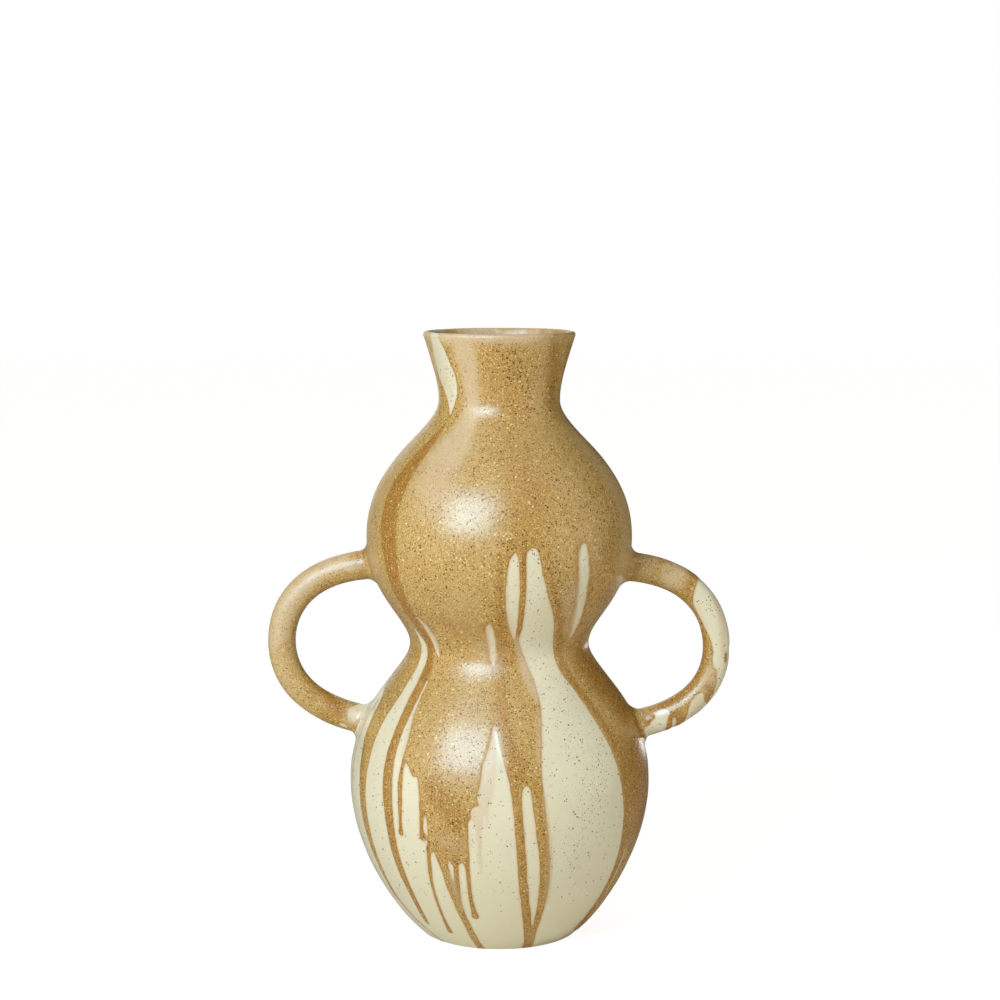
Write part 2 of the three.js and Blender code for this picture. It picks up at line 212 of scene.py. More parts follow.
# Caramel runs: they colour the brown they cross and stand on the cream below it.
# Each is its strength, then its line.
RUNS = [
    (1.0, [(-49.8, 308, 1), (-51, 299, 7), (-52.4, 293, 9), (-53.8, 287, 11), (-55, 281, 13.4),
           (-55.8, 275, 15.4), (-56, 269, 16.4), (-55.9, 262, 17), (-55.6, 254, 16.8),
           (-54.7, 247, 16.4), (-53.6, 240, 15.4), (-52.9, 233, 14.2), (-52.7, 226, 13.2),
           (-52.6, 216, 12), (-52.4, 205, 10.6), (-51.8, 196, 9.2), (-50.6, 188, 8.2),
           (-49.2, 183, 7.1), (-48.2, 177, 6.4), (-48, 169, 6.2), (-47.6, 161, 7)]),
    (0.75, [(-47.8, 166, 6.4), (-47.2, 152, 7.6), (-46.6, 141, 7.2), (-46.8, 130, 7),
           (-47, 117, 7.6), (-46.5, 107, 8.2), (-45.9, 97, 8.1), (-45.2, 87, 7.5),
           (-45, 78, 6.6), (-44.8, 66, 6.1), (-44.4, 55, 5.9), (-43.8, 46, 5.1), (-43.1, 36, 4.4),
           (-42.8, 28, 4.1), (-43, 20, 3.6), (-43.4, 15.4, 3)]),
    (0.8, [(-39.6, 119, 2.2), (-39.8, 112, 2.8), (-39.7, 105, 3.4), (-39.4, 98, 3.3),
           (-39.2, 91, 2.8), (-39.3, 84, 2.4), (-39.4, 79, 2.7), (-39.6, 76, 3.7)]),
    (0.85, [(-29.5, 96, 3.2), (-29.4, 90, 2.8), (-29.7, 83, 2.6), (-29.8, 79.4, 3),
           (-29.4, 76, 5)]),
    (0.7, [(-27.5, 70, 2.8), (-27.9, 62, 2.5), (-28.5, 55, 2.3), (-29, 47, 2.1), (-29.1, 38, 1.9),
           (-29, 28, 2), (-29, 19, 2.1), (-28.9, 12, 3.2)]),
    (0.3, [(-22.4, 64, 6), (-21.4, 55, 5), (-20.7, 48, 4.8), (-19.8, 42, 5.2), (-18.8, 36, 5.8),
            (-18.3, 30, 4.8), (-17.5, 24, 4.2), (-16.4, 18, 4.1), (-15, 9, 4.2), (-13, 1, 4.2),
            (-12, -6, 4.2)]),
    (0.6, [(-16.8, 65, 3.8), (-17, 57, 3), (-17.4, 49, 3.2), (-17.6, 41, 3), (-18, 34, 2.4)]),
    (0.7, [(-12.5, 65, 3.2), (-12.3, 57, 2.6), (-12.3, 49, 2.4), (-12.4, 42, 2.4),
           (-12.3, 35, 2.6), (-11.9, 31, 2.8), (-11.5, 26.4, 4.5)]),
    (0.8, [(-60, 34, 2.4), (-58.8, 25, 1.9), (-54.6, 16, 1.6), (-48.8, 8.5, 1.4), (-45.2, 2.5, 1.4),
           (-44, -5, 1.4)]),
    (1.0, [(-78.6, 143, 0.8), (-79.2, 131, 0.8), (-77.8, 121, 0.8), (-77.1, 109, 0.7),
           (-77.2, 97, 0.7), (-78.2, 86, 0.6)]),
    (0.6, [(138.6, 82, 3.6), (139.2, 60, 3), (139.8, 42, 2.9), (140, 33, 4.6)]),
    (0.6, [(143.2, 96, 2.6), (143.8, 76, 2.2), (144, 60, 3.4)]),
    (0.6, [(162.8, 110, 3), (162.3, 80, 2.6), (162.2, 58, 2.6), (162.4, 51, 3.8)]),
    (0.6, [(168.5, 98, 4.4), (168, 70, 3.6), (167.4, 40, 3.4), (167, 10, 3.2), (167, -6, 3.2)]),
    (0.6, [(174.6, 90, 3.4), (175.4, 66, 2.8), (175.6, 50, 2.8), (175.4, 44, 4.8)]),
    (0.6, [(187.6, 88, 5), (188.2, 60, 4), (188.8, 32, 3.8), (188.4, 12, 3.4), (188.3, 7, 4.2)]),
    (0.6, [(192.6, 92, 2.8), (192.6, 76, 2.4), (192.2, 64, 3.6)]),
    (0.8, [(251.6, 190, 3), (253, 175, 5.5), (254.2, 158, 6), (255, 142, 5), (255.6, 126, 4.6),
           (255, 104, 4.2), (254.2, 80, 3.8), (254.4, 56, 3.4), (255.2, 40, 3.2),
           (255.4, 33, 4.8)]),
    (1.0, [(112, 330, 2), (115, 315, 6), (117.5, 300, 9), (117, 282, 11), (114, 262, 11),
           (111.5, 245, 10), (111, 228, 9), (112, 212, 8), (114.5, 196, 6), (116, 186, 3)]),
    (0.9, [(196, 312, 3), (193, 298, 7), (190.5, 282, 11), (190, 262, 13), (191.5, 242, 12),
           (193, 222, 10), (193.2, 204, 9), (192, 188, 7.5), (190.5, 175, 6), (190.8, 160, 6),
           (192, 140, 5), (191, 118, 5), (188.6, 100, 5)]),
    (0.9, [(236, 290, 2), (233, 276, 6), (231.4, 258, 8), (232, 240, 9), (234.2, 222, 8),
           (235, 205, 7), (233.4, 190, 6), (229.6, 174, 6), (227.8, 156, 6), (226.6, 130, 6),
           (225.4, 100, 6), (225.4, 70, 5), (226, 40, 4), (228, 10, 4)]),
]
# Caramel glaze that stays within the brown, one area also painted shade: line or outline, strength,
# softness in mm
CARAMEL_LINES = [
    ([(10, 242, 2.4), (10.1, 225, 2.6), (10.5, 205, 2.8), (10.8, 190, 3)], 0.85, 1.2),
    ([(19.5, 238, 2), (23, 221, 3.4), (28, 208, 4), (34.5, 193, 5), (39.6, 179, 6),
      (42.4, 168, 6), (45.4, 156, 5.5), (49, 143, 5), (51.6, 130, 6), (54, 112, 7), (56, 92, 8),
      (57.4, 74, 8), (58.6, 58, 7), (59, 38, 6), (58, 22, 5), (56, 10, 4)], 0.75, 2.0),
    ([(5.6, 110, 4), (6.8, 97, 5), (7.6, 81, 5.6), (8.7, 64, 5.6), (10.2, 47, 5), (12, 33, 4.8),
      (15, 17, 4.6), (18.5, 2, 5)], 0.6, 1.6),
    ([(13.4, 110, 4), (14.4, 98, 5), (15.4, 86, 5.6), (17.2, 68, 5.6), (18.4, 52, 5.6),
      (19, 38, 5), (19, 25, 4.6), (18.8, 14, 4)], 0.4, 1.6),
    ([(-24.5, 72, 3), (-18, 68, 5), (-12.4, 78, 2.4), (-12.2, 70, 2.6)], 0.5, 3.0),
    ([(-67, 116, 4), (-63.5, 96, 5), (-62.4, 76, 5), (-61.2, 56, 4)], 0.7, 3.0),
    ([(3.6, 118, 2), (4.6, 106, 2.4)], 0.85, 1.6),
    ([(42, 182, 3), (36, 190, 2)], 0.8, 3.0),
    ([(46, 351, 4), (54, 343, 7), (58, 334, 8), (57, 325, 7), (55, 318, 5)], 0.35, 4.0),
]
CARAMEL_AND_SHADE_AREAS = [
    # the first, on the right band, is partly painted shade: it darkens the shaded right side down to
    # about 50 mm, below which the band is left lighter
    ([(50, 122), (54, 100), (57, 72), (64, 54), (96, 52), (99, 60), (101, 80), (103, 112),
      (84, 128), (66, 126)], 0.75, 12.0),
    ([(44, 226), (52, 244), (66, 240), (74, 214), (70, 190), (54, 184), (50, 200)], 0.3, 12.0),
]
# Milky pinkish glaze, thin enough to see through, and patches of painted light: outline, strength,
# softness in mm
VEILS_AND_PAINTED_LIGHT = [
    ([(-37.6, 364), (-38.6, 352), (-37.6, 345), (-36.2, 338), (-34.2, 332), (-34.2, 324),
      (-34.4, 317), (-35.4, 311), (-38.4, 306), (-42, 300), (-45, 294), (-46, 288), (-40, 282),
      (-28, 282), (-20, 288), (-18.6, 297), (-19.4, 306), (-18.4, 312), (-18, 318), (-19, 327),
      (-18, 337), (-18.3, 345), (-19.2, 352), (-20, 364)], 0.8, 3.0),
    ([(-66, 362), (-66.5, 350), (-68, 338), (-78, 330), (-92, 340), (-92, 362)], 0.55, 2.4),
    ([(-46, 300), (-48, 284), (-44, 268), (-34, 258), (-26, 266), (-20, 284), (-19, 298)], 0.6,
     11.0),
    ([(-6.2, 119), (-5.2, 124), (-4.2, 129), (-3.2, 135), (-2.4, 139), (-1.7, 134), (-1, 126),
      (-0.8, 119), (-1.3, 112), (-1.9, 106), (-2.6, 100), (-3.4, 95), (-3.8, 89), (-4, 85),
      (-4.7, 85), (-5, 91), (-5.4, 93), (-5.9, 84), (-6.3, 73), (-6.4, 63), (-6.3, 55.5),
      (-7.3, 55.5), (-7.6, 61), (-7.9, 69), (-8.3, 77), (-9, 85), (-10, 90), (-10.4, 94),
      (-8.2, 96.5), (-7, 97.5), (-7.9, 101), (-7.2, 107), (-6.7, 113)], 0.85, 0.9),
    ([(8.2, 188), (9.6, 180), (12, 172), (13.4, 165), (15, 159), (17.4, 153), (19.8, 150),
      (21, 156), (20.4, 161), (19.4, 166), (17.9, 170.5), (16.2, 174.5), (14.4, 178.5),
      (12.8, 182.5), (11, 188)], 0.85, 1.6),
    ([(14.6, 118), (14.4, 128), (15.6, 138), (17.4, 146), (19.4, 150), (19.6, 144), (18.4, 136),
      (17.2, 128), (16.4, 119)], 0.5, 1.6),
    ([(-26, 222), (-26, 205), (-22, 186), (-14, 178), (-10, 196), (-12, 216)], 0.18, 8.0),
    # painted highlight: a milky patch that lightens the waist where the highlight spreads
    ([(-16, 188), (-15, 168), (2, 166), (4, 176), (0, 186), (-8, 191)], 0.35, 4.0),
    ([(26, 214), (33, 198), (40, 186), (46, 190), (41, 206), (36, 220), (30, 226)], 0.35, 3.0),
    ([(170, 352), (168, 320), (166, 296), (172, 266), (182, 266), (184, 296), (180, 330),
      (182, 352)], 0.7, 3.0),
    ([(222, 344), (220, 318), (218, 290), (222, 262), (232, 260), (234, 290), (232, 322),
      (234, 344)], 0.6, 4.0),
    ([(262, 334), (260, 300), (256, 268), (258, 244), (268, 238), (276, 250), (278, 280),
      (276, 312), (274, 334)], 0.55, 5.0),
    ([(66, 330), (64, 304), (62, 280), (66, 262), (74, 262), (78, 284), (76, 312), (74, 330)],
     0.35, 5.0),
    ([(136, 340), (134, 318), (136, 296), (144, 296), (146, 318), (144, 340)], 0.5, 4.0),
    # painted light: a faint veil that lightens the far left of the upper bulb, where the light falls
    ([(-67, 292), (-66, 262), (-64, 236), (-64, 214), (-84, 210), (-98, 240), (-98, 270),
      (-82, 298)], 0.3, 8.0),
    # partly milky glaze, partly painted sheen along the right edge of the upper bulb
    ([(66, 284), (63, 262), (61, 240), (62, 222), (67, 206), (80, 200), (100, 206), (112, 222),
      (114, 245), (108, 268), (90, 284)], 0.4, 9.0),
]
VEIL_LINES = [
    ([(-22, 76, 6), (-17, 72, 9), (-13, 74, 6)], 0.4, 4.0),
    ([(-47.4, 196.5, 1), (-44.6, 192, 4), (-43.4, 187, 5), (-42.8, 181, 4), (-41.8, 176, 3)],
     0.95, 0.8),
    ([(-5, 196, 1.5), (-6, 188, 2.4), (-5.6, 181, 2.6), (-4.4, 174, 2)], 0.7, 0.8),
    ([(4, 226, 1), (3.4, 214, 1.6), (4, 203, 2.4), (6, 195, 3), (8, 188, 3.4)], 0.6, 1.4),
    ([(36, 226, 1), (37.4, 214, 2.4), (39.8, 203, 4), (43.4, 192, 4.6), (47, 183, 3.4)], 0.7, 1.6),
    ([(16.9, 104, 2), (17.9, 88, 2.6), (19.5, 70, 3.2), (21.1, 50, 3.2), (21.5, 34, 2.4)],
     0.8, 1.4),
    ([(-52.6, 176, 1.6), (-52, 166, 1.8), (-51.2, 156, 2), (-50.4, 146, 2)], 0.6, 1.0),
    ([(-19.6, 55, 2.6), (-18.8, 48, 3.2), (-18, 40, 3), (-17.2, 32, 2.4)], 0.7, 1.2),
    ([(-58, 358, 8), (-60, 342, 10), (-52, 322, 8)], 0.3, 2.0),
    ([(-42.4, 150, 1.6), (-41.9, 140, 2.4), (-41, 130, 3), (-41.4, 120, 2.6)], 0.6, 1.2),
]
# Thicker, darker glaze, in one band also painted shade: line, strength, softness in mm
DEEP_AND_SHADE_LINES = [
    ([(9, 300, 18), (12, 282, 22), (13, 262, 24), (12, 246, 22), (4, 236, 14)], 0.4, 9.0),
    ([(0.4, 238, 4), (0.2, 215, 5), (1.2, 195, 6), (2.6, 180, 7), (1.6, 168, 7)], 0.8, 2.4),
    ([(2, 178, 6), (1, 160, 6), (2.4, 140, 6), (5.6, 126, 6), (8, 114, 8)], 0.65, 3.0),
    ([(-18, 196, 16), (-10, 190, 12)], 0.3, 6.0),
    ([(10, 190, 6), (10.4, 180, 6), (7, 172, 5)], 0.6, 3.0),
    ([(-72, 140, 4), (-69, 120, 3), (-66, 100, 2.5)], 0.5, 2.0),
    ([(-26, 106, 10), (-19, 96, 16), (-15, 88, 12)], 0.7, 5.0),
    ([(-28, 196, 10), (-20, 192, 14)], 0.45, 6.0),
    ([(43, 362, 6), (47, 348, 8), (56, 335, 11), (66, 322, 14), (70, 308, 10)], 0.5, 2.4),
    ([(0, 352, 20), (6, 330, 26), (10, 312, 26)], 0.35, 8.0),
    # the band on the right side: thick glaze and also painted shade, darkening the shaded right side
    ([(62, 176, 18), (68, 160, 26), (74, 146, 32), (78, 128, 34), (80, 100, 34), (76, 78, 26)],
     1.0, 8.0),
    ([(150, 300, 16), (146, 280, 20), (142, 260, 18)], 0.5, 9.0),
    ([(206, 260, 18), (208, 240, 16), (206, 224, 8)], 0.6, 8.0),
    ([(180, 150, 10), (178, 128, 12), (181, 108, 10)], 0.6, 6.0),
    ([(84, 300, 16), (88, 280, 18), (92, 262, 16)], 0.35, 9.0),
]
# Places sprinkled with more specks, on cream and brown alike: line, strength, softness in mm
PEPPER_LINES = [
    ([(2, 264, 10), (8, 248, 18), (16, 232, 22), (28, 220, 20), (36, 214, 12)], 1.0, 12.0),
    ([(-2, 206, 8), (-4, 194, 12), (-12, 186, 10)], 1.0, 8.0),
    ([(-6, 152, 8), (1, 142, 12), (6, 128, 14), (9, 116, 10)], 1.0, 7.0),
    ([(-24, 108, 10), (-20, 92, 14), (-16, 80, 10)], 1.0, 9.0),
    ([(12, 352, 10), (20, 336, 16), (22, 320, 14)], 1.0, 9.0),
    ([(48, 348, 10), (56, 334, 14), (58, 316, 14)], 1.0, 6.0),
    ([(46, 268, 12), (58, 246, 26), (64, 222, 32), (62, 200, 22)], 1.0, 12.0),
    ([(24, 178, 8), (28, 158, 16), (34, 138, 26), (38, 114, 34), (34, 86, 26), (30, 60, 14)],
     1.0, 12.0),
    ([(14, 214, 6), (18, 198, 8), (22, 186, 8)], 1.0, 6.0),
    ([(6, 212, 2), (6, 200, 2)], 1.0, 3.0),
    ([(-54, 112, 9), (-53, 88, 9)], 1.0, 6.0),
    ([(-51, 346, 6), (-50, 328, 8), (-52, 316, 5)], 1.0, 4.0),
    ([(120, 150, 16), (116, 118, 22), (112, 92, 16)], 1.0, 10.0),
    ([(208, 110, 16), (206, 80, 20)], 1.0, 10.0),
    ([(-96, 108, 14), (-92, 78, 14)], 1.0, 10.0),
]

BODY_MARKS = {
    "brown_areas": BROWN_AREAS,
    "cream_areas": CREAM_AREAS,
    "faded_areas": FADED_AREAS,
    "cream_lines": CREAM_LINES,
    "runs": RUNS,
    "caramel_lines": CARAMEL_LINES,
    "caramel_and_shade_areas": CARAMEL_AND_SHADE_AREAS,
    "veils_and_painted_light": VEILS_AND_PAINTED_LIGHT,
    "veil_lines": VEIL_LINES,
    "deep_and_shade_lines": DEEP_AND_SHADE_LINES,
    "pepper_lines": PEPPER_LINES,
}

# Glaze marks on the handles, in degrees round the bar and millimetres along it from its upper
# root: 0 degrees faces the camera and 90 degrees the outside of the loop.
LEFT_MARKS = {
    "cream_areas": [
        [(-46, 143), (-74, 147), (-104, 149), (-120, 153), (-110, 158), (-60, 157), (-44, 153),
         (-14, 150), (12, 147.6), (15, 146), (6, 144), (-12, 142.4), (-30, 142)],
    ],
    "cream_lines": [[(36, 141, 2.4), (40, 143.4, 2.6)]],
    "runs": [
        (0.8, [(-76, 156, 3), (-34, 153.6, 3.4), (4, 152, 3.8), (30, 150.4, 3.8), (62, 151, 4)]),
    ],
    "caramel_lines": [([(-70, 124, 5), (-40, 134, 6), (-10, 140, 5)], 0.7, 3.0),
                      ([(-70, 5, 8), (80, 5, 8)], 0.5, 4.0)],
    "veils_and_painted_light": [
        ([(150, 16), (80, 12), (60, 9), (30, 13), (2, 12), (-6, 20), (-12, 30), (-22, 42),
          (-30, 52), (-40, 66), (-46, 76), (10, 82), (60, 86), (120, 86), (150, 60)], 0.78, 4.0),
        ([(-50, 72), (140, 72), (130, 110), (60, 118), (0, 108), (-50, 92)], 0.4, 9.0),
        ([(-12, 4), (10, 4), (12, 14), (-14, 14)], 0.9, 1.6),
        ([(-60, 140), (24, 140), (24, 152), (-60, 155)], 0.65, 2.0),
    ],
    "deep_and_shade_lines": [
        ([(-70, 110, 8), (-60, 122, 8), (-40, 132, 9), (-20, 137, 8), (30, 132, 8)], 0.7, 5.0),
        ([(-70, 30, 5), (-78, 46, 5), (-84, 64, 5)], 0.6, 3.0),
    ],
    "pepper_lines": [([(0, 146, 6), (-40, 150, 6)], 1.0, 3.0)],
}
RIGHT_MARKS = {
    "cream_areas": [
        [(75, 40), (44, 40), (22, 41), (0, 42.5), (-16, 44), (-38, 47), (-49, 51), (-51, 60),
         (-44, 68), (-30, 74), (-21, 80), (-19, 88), (-8, 92), (8, 93), (18, 97), (30, 100),
         (50, 108), (66, 114), (90, 117), (130, 112), (162, 100), (166, 60), (140, 44),
         (100, 40)],
        [(56, 112), (80, 116), (88, 122), (82, 128), (60, 127.5), (34, 125), (8, 121), (-10, 117),
         (-15, 112), (0, 108.6), (12, 110), (30, 112.4)],
        [(-42, 133.6), (-10, 131.5), (30, 130.6), (62, 133), (90, 134), (110, 142), (100, 151),
         (60, 151), (28, 151), (0, 149), (-22, 148), (-40, 145)],
    ],
    "cream_lines": [],
    "runs": [
        (0.8, [(-16, 130, 2.4), (10, 134, 3), (40, 136, 3.4), (66, 137.4, 3.2)]),
        (0.8, [(-26, 143, 3), (-16, 146, 3.2), (-4, 147.6, 3)]),
        (0.8, [(38, 83, 1.6), (42, 87, 2.4)]),
    ],
    "caramel_lines": [
        ([(-66, 68, 4), (-70, 84, 6), (-74, 100, 8), (-70, 118, 8), (-62, 134, 7)], 0.85, 3.0),
        ([(70, 37, 5), (30, 37, 6), (0, 39, 6), (-30, 43, 5)], 0.7, 2.5),
        ([(-70, 1, 6), (80, 1, 6)], 0.6, 3.0),
        ([(-14, 127, 4), (20, 129, 5), (50, 131, 5)], 0.8, 2.5),
        ([(0, 104, 4), (24, 106, 5), (40, 111, 4)], 0.8, 2.0),
    ],
    "veils_and_painted_light": [
        ([(44, 50), (30, 58), (20, 65), (14, 71), (10, 77), (14, 86), (34, 86), (40, 74),
          (48, 66), (60, 58), (72, 51)], 0.85, 1.6),
        ([(-30, 92), (0, 92), (24, 100), (20, 110), (-10, 108), (-34, 100)], 0.7, 4.0),
        ([(56, 112), (74, 118), (66, 123), (30, 122), (-6, 118), (-16, 112), (12, 110)],
         0.8, 2.0),
        ([(90, 20), (-50, 20), (-46, 32), (0, 34), (90, 32)], 0.7, 3.0),
        ([(90, 7), (-60, 7), (-60, 18), (90, 18)], 0.2, 3.0),
        ([(104, 112), (60, 112), (84, 96), (120, 90)], 0.5, 4.0),
    ],
    "deep_and_shade_lines": [
        ([(-60, 30, 4), (-66, 42, 4), (-70, 56, 4)], 0.4, 3.0),
    ],
    "pepper_lines": [([(16, 50, 2), (12, 60, 3)], 1.0, 4.0), ([(40, 96, 8), (60, 106, 8)], 1.0, 5.0)],
}

# The glaze pattern, in mm: how far a mark counts, the fillets where marks meet, what is left of
# the distance beside a faded edge, and how uneven every edge is, in waves of these lengths
REACH = 8.0
POUR_BLEND = 1.1
CUT_BLEND = 0.8
FADE = 0.28
WANDER, WANDER_WAVES = 0.13, (14.0, 3.0)
RUN_EDGE = (-1.0, 1.2)

# The milky rim: its strength, the heights between which it begins, and how it thins out to the
# right. Specks get rarer down the foot.
RIM_VEIL, RIM_VEIL_START, RIM_VEIL_EDGE = 0.95, (351.8, 357.0), (-0.6, 0.6)
RIM_LOSS, RIM_LOSS_START = 0.7, (14.0, 34.0)
FOOT_LOSS, FOOT_LOSS_END = 1.3, (14.0, 52.0)

# Relief of the glaze: where the brown starts to rise and how fast, in mm, its share of the whole
# rise, the bead of a run, and the height and lengths of the body's unevenness in mm
RISE_START, RISE_WIDTH, RISE_SHARE = 0.35, 0.8, 0.88
RUN_BEAD, BEAD_START = 0.12, (0.0, 2.0)
UNEVEN, UNEVEN_WAVES = 0.07, (70.0, 18.0)
SHALLOWEST = 0.01 * MM

# Value of cover well inside the brown, and the seeds of what is uneven
FULL_COVER = 4.0
BODY_SEED, LEFT_SEED, RIGHT_SEED, UNEVEN_SEED = 11, 21, 22, 5

# Studio: floor, lights and dark cards. A light is its name, place, the point it faces, its
# sides, the setting of its power, its colour and what doesn't see it. A card has two opposite
# corners and its shade; it is seen in the glaze only and keeps the colours deep.
FLOOR_HALF, FLOOR_LEVEL = 6.0, -0.1 * MM
FLOOR_GLOW = 0.885
SENSOR_WIDTH = 36.0
WHITE = (1.0, 1.0, 1.0)
LIGHTS = (
    ("KeySoftbox", (-0.60, -0.92, 0.78), (0.0, 0.0, 0.18), (0.5, 0.56), "key_power", WHITE,
     "visible_glossy"),
    ("FillPanel", (0.95, -0.38, 0.20), (0.0, 0.0, 0.05), (0.5, 0.5), "fill_power",
     (1.0, 0.9, 0.76), "visible_glossy"),
    ("GlintPanel", (-0.51, -0.96, 0.83), (0.0, 0.0, 0.2), (0.84, 0.84), "glint_power",
     (0.45, 0.74, 1.0), "visible_diffuse"),
    ("EdgePanel", (0.40, 0.63, 0.03), (0.0, 0.0, 0.11), (0.05, 0.05), "edge_power", WHITE,
     "visible_diffuse"),
)
CARDS = (
    ("LeftCard", (-0.62, 0.0, 0.0), (-0.62, 1.1, 1.1), 0.03),
    ("RightCard", (0.44, 0.0, 0.0), (0.44, 2.6, 1.6), 0.03),
    ("FloorCard", (-0.7, -1.6, 0.0004), (0.7, 2.6, 0.0004), 0.45),
    ("RoomCard", (-2.0, -2.4, 0.0), (2.0, -2.4, 3.0), 0.03),
)


# Settings


def paint(red, green, blue):
    """Colour as the scene stores it, from the eight-bit values that a screen shows."""
    shares = np.array([red, green, blue]) / 255.0
    dark = shares / 12.92
    bright = ((shares + 0.055) / 1.055) ** 2.4
    return (*np.where(shares <= 0.04045, dark, bright).tolist(), 1.0)


def number(name, description, default, unit="LENGTH"):
    """Setting for one number: a length, unless another unit is given."""
    return bpy.props.FloatProperty(name=name, description=description, default=default,
                                   precision=5, unit=unit)


def colour(name, description, *shown):
    """Setting for a colour, from the eight-bit values that a screen shows."""
    return bpy.props.FloatVectorProperty(name=name, description=description,
                                         default=paint(*shown), size=4, subtype="COLOR")


class VaseBodySizes(bpy.types.PropertyGroup):
    """Stations of the body's outline and its walls"""

    foot_radius: number("Foot Radius", "Radius of the foot where it stands", 0.0475)
    belly_radius: number("Belly Radius", "Widest radius of the lower bulb", 0.09)
    belly_height: number("Belly Height", "Height of the lower bulb's widest circle", 0.0915)
    waist_radius: number("Waist Radius", "Narrowest radius between the bulbs", 0.0535)
    waist_height: number("Waist Height", "Height of the waist", 0.1745)
    shoulder_radius: number("Shoulder Radius", "Widest radius of the upper bulb", 0.079)
    shoulder_height: number("Shoulder Height", "Height of the upper bulb's widest circle", 0.2385)
    throat_radius: number("Throat Radius", "Narrowest radius of the neck", 0.036)
    throat_height: number("Throat Height", "Height of the throat", 0.3195)
    rim_radius: number("Rim Radius", "Radius of the rim's highest circle", 0.0429)
    rim_height: number("Rim Height", "Height of the rim", 0.36)
    wall: number("Wall", "Thickness of the bulbs' walls", 0.005)
    rim_wall: number("Rim Wall", "Thickness of the wall at the rim", 0.0042)
    waist_seam: number("Waist Seam", "Height where the two bulbs join", 0.1715)
    neck_seam: number("Neck Seam", "Height where the neck joins the upper bulb", 0.3035)
    lap: number("Lap", "Height of the lapped rims inside the joins", 0.006)
    slip_gap: number("Slip Gap", "Layer of slip between joined pieces", 0.0003)
    floor_top: number("Floor Top", "Height of the floor inside", 0.009)
    foot_recess: number("Foot Recess", "Depth of the recess under the floor", 0.003)
    foot_ring: number("Foot Ring", "Width of the ring on which the vase stands", 0.007)


class VaseHandleSizes(bpy.types.PropertyGroup):
    """The pulled handles"""

    radius: number("Bar Radius", "Radius of the bar at mid-arm", 0.0086)
    root_gain: number("Root Gain", "How much thicker the bar is near its roots", 0.0004)
    apex_loss: number("Apex Loss", "How much thinner the bar is at its farthest point", 0.0002)
    reach: number("Reach", "Distance of the bar's middle from the axis at the apex", 0.13)
    fillet: number("Root Fillet", "Radius of the swelling at each root", 0.005)
    left_heights: bpy.props.FloatVectorProperty(
        name="Left Heights", description="Heights of the left upper root, apex and lower root",
        default=(0.2213, 0.175, 0.1273), unit="LENGTH")
    right_heights: bpy.props.FloatVectorProperty(
        name="Right Heights", description="Heights of the right upper root, apex and lower root",
        default=(0.22, 0.171, 0.1243), unit="LENGTH")


class VaseGlazeSettings(bpy.types.PropertyGroup):
    """Thickness and colours of the glazes"""

    cream_level: number("Cream Level", "How far the cream glaze lies inside the outline", 0.00045)
    brown_rise: number("Brown Rise", "How far the brown glaze stands above the cream", 0.00032)
    cream: colour("Cream", "Pale ground glaze", 226, 225, 199)
    brown: colour("Brown", "Speckled brown glaze", 191, 157, 86)
    caramel: colour("Caramel", "Brown glaze where it ran in streaks", 160, 110, 34)
    deep: colour("Deep Brown", "Brown glaze where it is thick", 176, 123, 36)
    veil: colour("Veil", "Milky pinkish glaze", 210, 192, 161)
    light_speck: colour("Light Specks", "Ochre specks in the brown", 240, 216, 154)
    dark_speck: colour("Dark Specks", "Iron specks in the brown", 60, 36, 8)
    iron: colour("Iron Specks", "Specks in the cream", 34, 32, 18)
    bare_clay: colour("Bare Clay", "Unglazed clay under the foot", 206, 184, 152)


class VaseStudioSettings(bpy.types.PropertyGroup):
    """Camera and light"""

    focal_length: number("Focal Length", "Focal length in millimetres", 78.264, "CAMERA")
    camera_place: bpy.props.FloatVectorProperty(
        name="Camera Place", description="Where the camera stands",
        default=(0.00041, -1.280785, 0.417747), subtype="TRANSLATION")
    camera_pitch: bpy.props.FloatProperty(
        name="Camera Pitch", description="How far the camera looks down",
        default=math.radians(7.03467), subtype="ANGLE")
    key_power: number("Key Power", "Power of the softbox on the left", 11.1, "POWER")
    fill_power: number("Fill Power", "Power of the low light on the right", 1.75, "POWER")
    glint_power: number("Glint Power", "Power of the panel that only the glaze shows", 32.0,
                        "POWER")
    edge_power: number("Edge Power", "Power of the panel behind that only the glaze shows", 0.12,
                       "POWER")
    ambient: number("Ambient", "Strength of the room's even light", 0.325, "NONE")


# Shapes


def unit(vectors):
    """Vectors brought to length one."""
    return vectors / np.maximum(np.linalg.norm(vectors, axis=-1), 1e-12)[..., None]


def looked_up(value, knots, rows):
    """Rows of two numbers, interpolated at a value between their knots."""
    return np.stack([np.interp(value, knots, rows[:, column]) for column in (0, 1)], -1)


def bezier(first, second, third, fourth, count=CURVE_POINTS):
    """Points of a cubic Bezier curve: the four given points weighted by the Bernstein terms."""
    share = np.linspace(0.0, 1.0, count)[:, None]
    back = 1.0 - share
    return (back**3 * first + 3 * back**2 * share * second
            + 3 * back * share**2 * third + share**3 * fourth)


def lean_way(degrees):
    """Unit direction in the profile plane that leans outward by an angle from straight up."""
    angle = math.radians(degrees)
    return np.array([math.sin(angle), math.cos(angle)])


def along(points):
    """Distance of each point of a polyline from its start: the running sum of its steps."""
    steps = np.linalg.norm(np.diff(points, axis=0), axis=1)
    return np.concatenate([[0.0], np.cumsum(steps)])


def normals_of(points):
    """Outward normals of a profile that runs upward on its outside: its tangent turned right."""
    tangent = unit(np.gradient(points, axis=0))
    return np.stack([tangent[:, 1], -tangent[:, 0]], 1)


def level(start, end, height, count):
    """Level profile between two radii."""
    return np.stack([np.linspace(start, end, count), np.full(count, height)], 1)


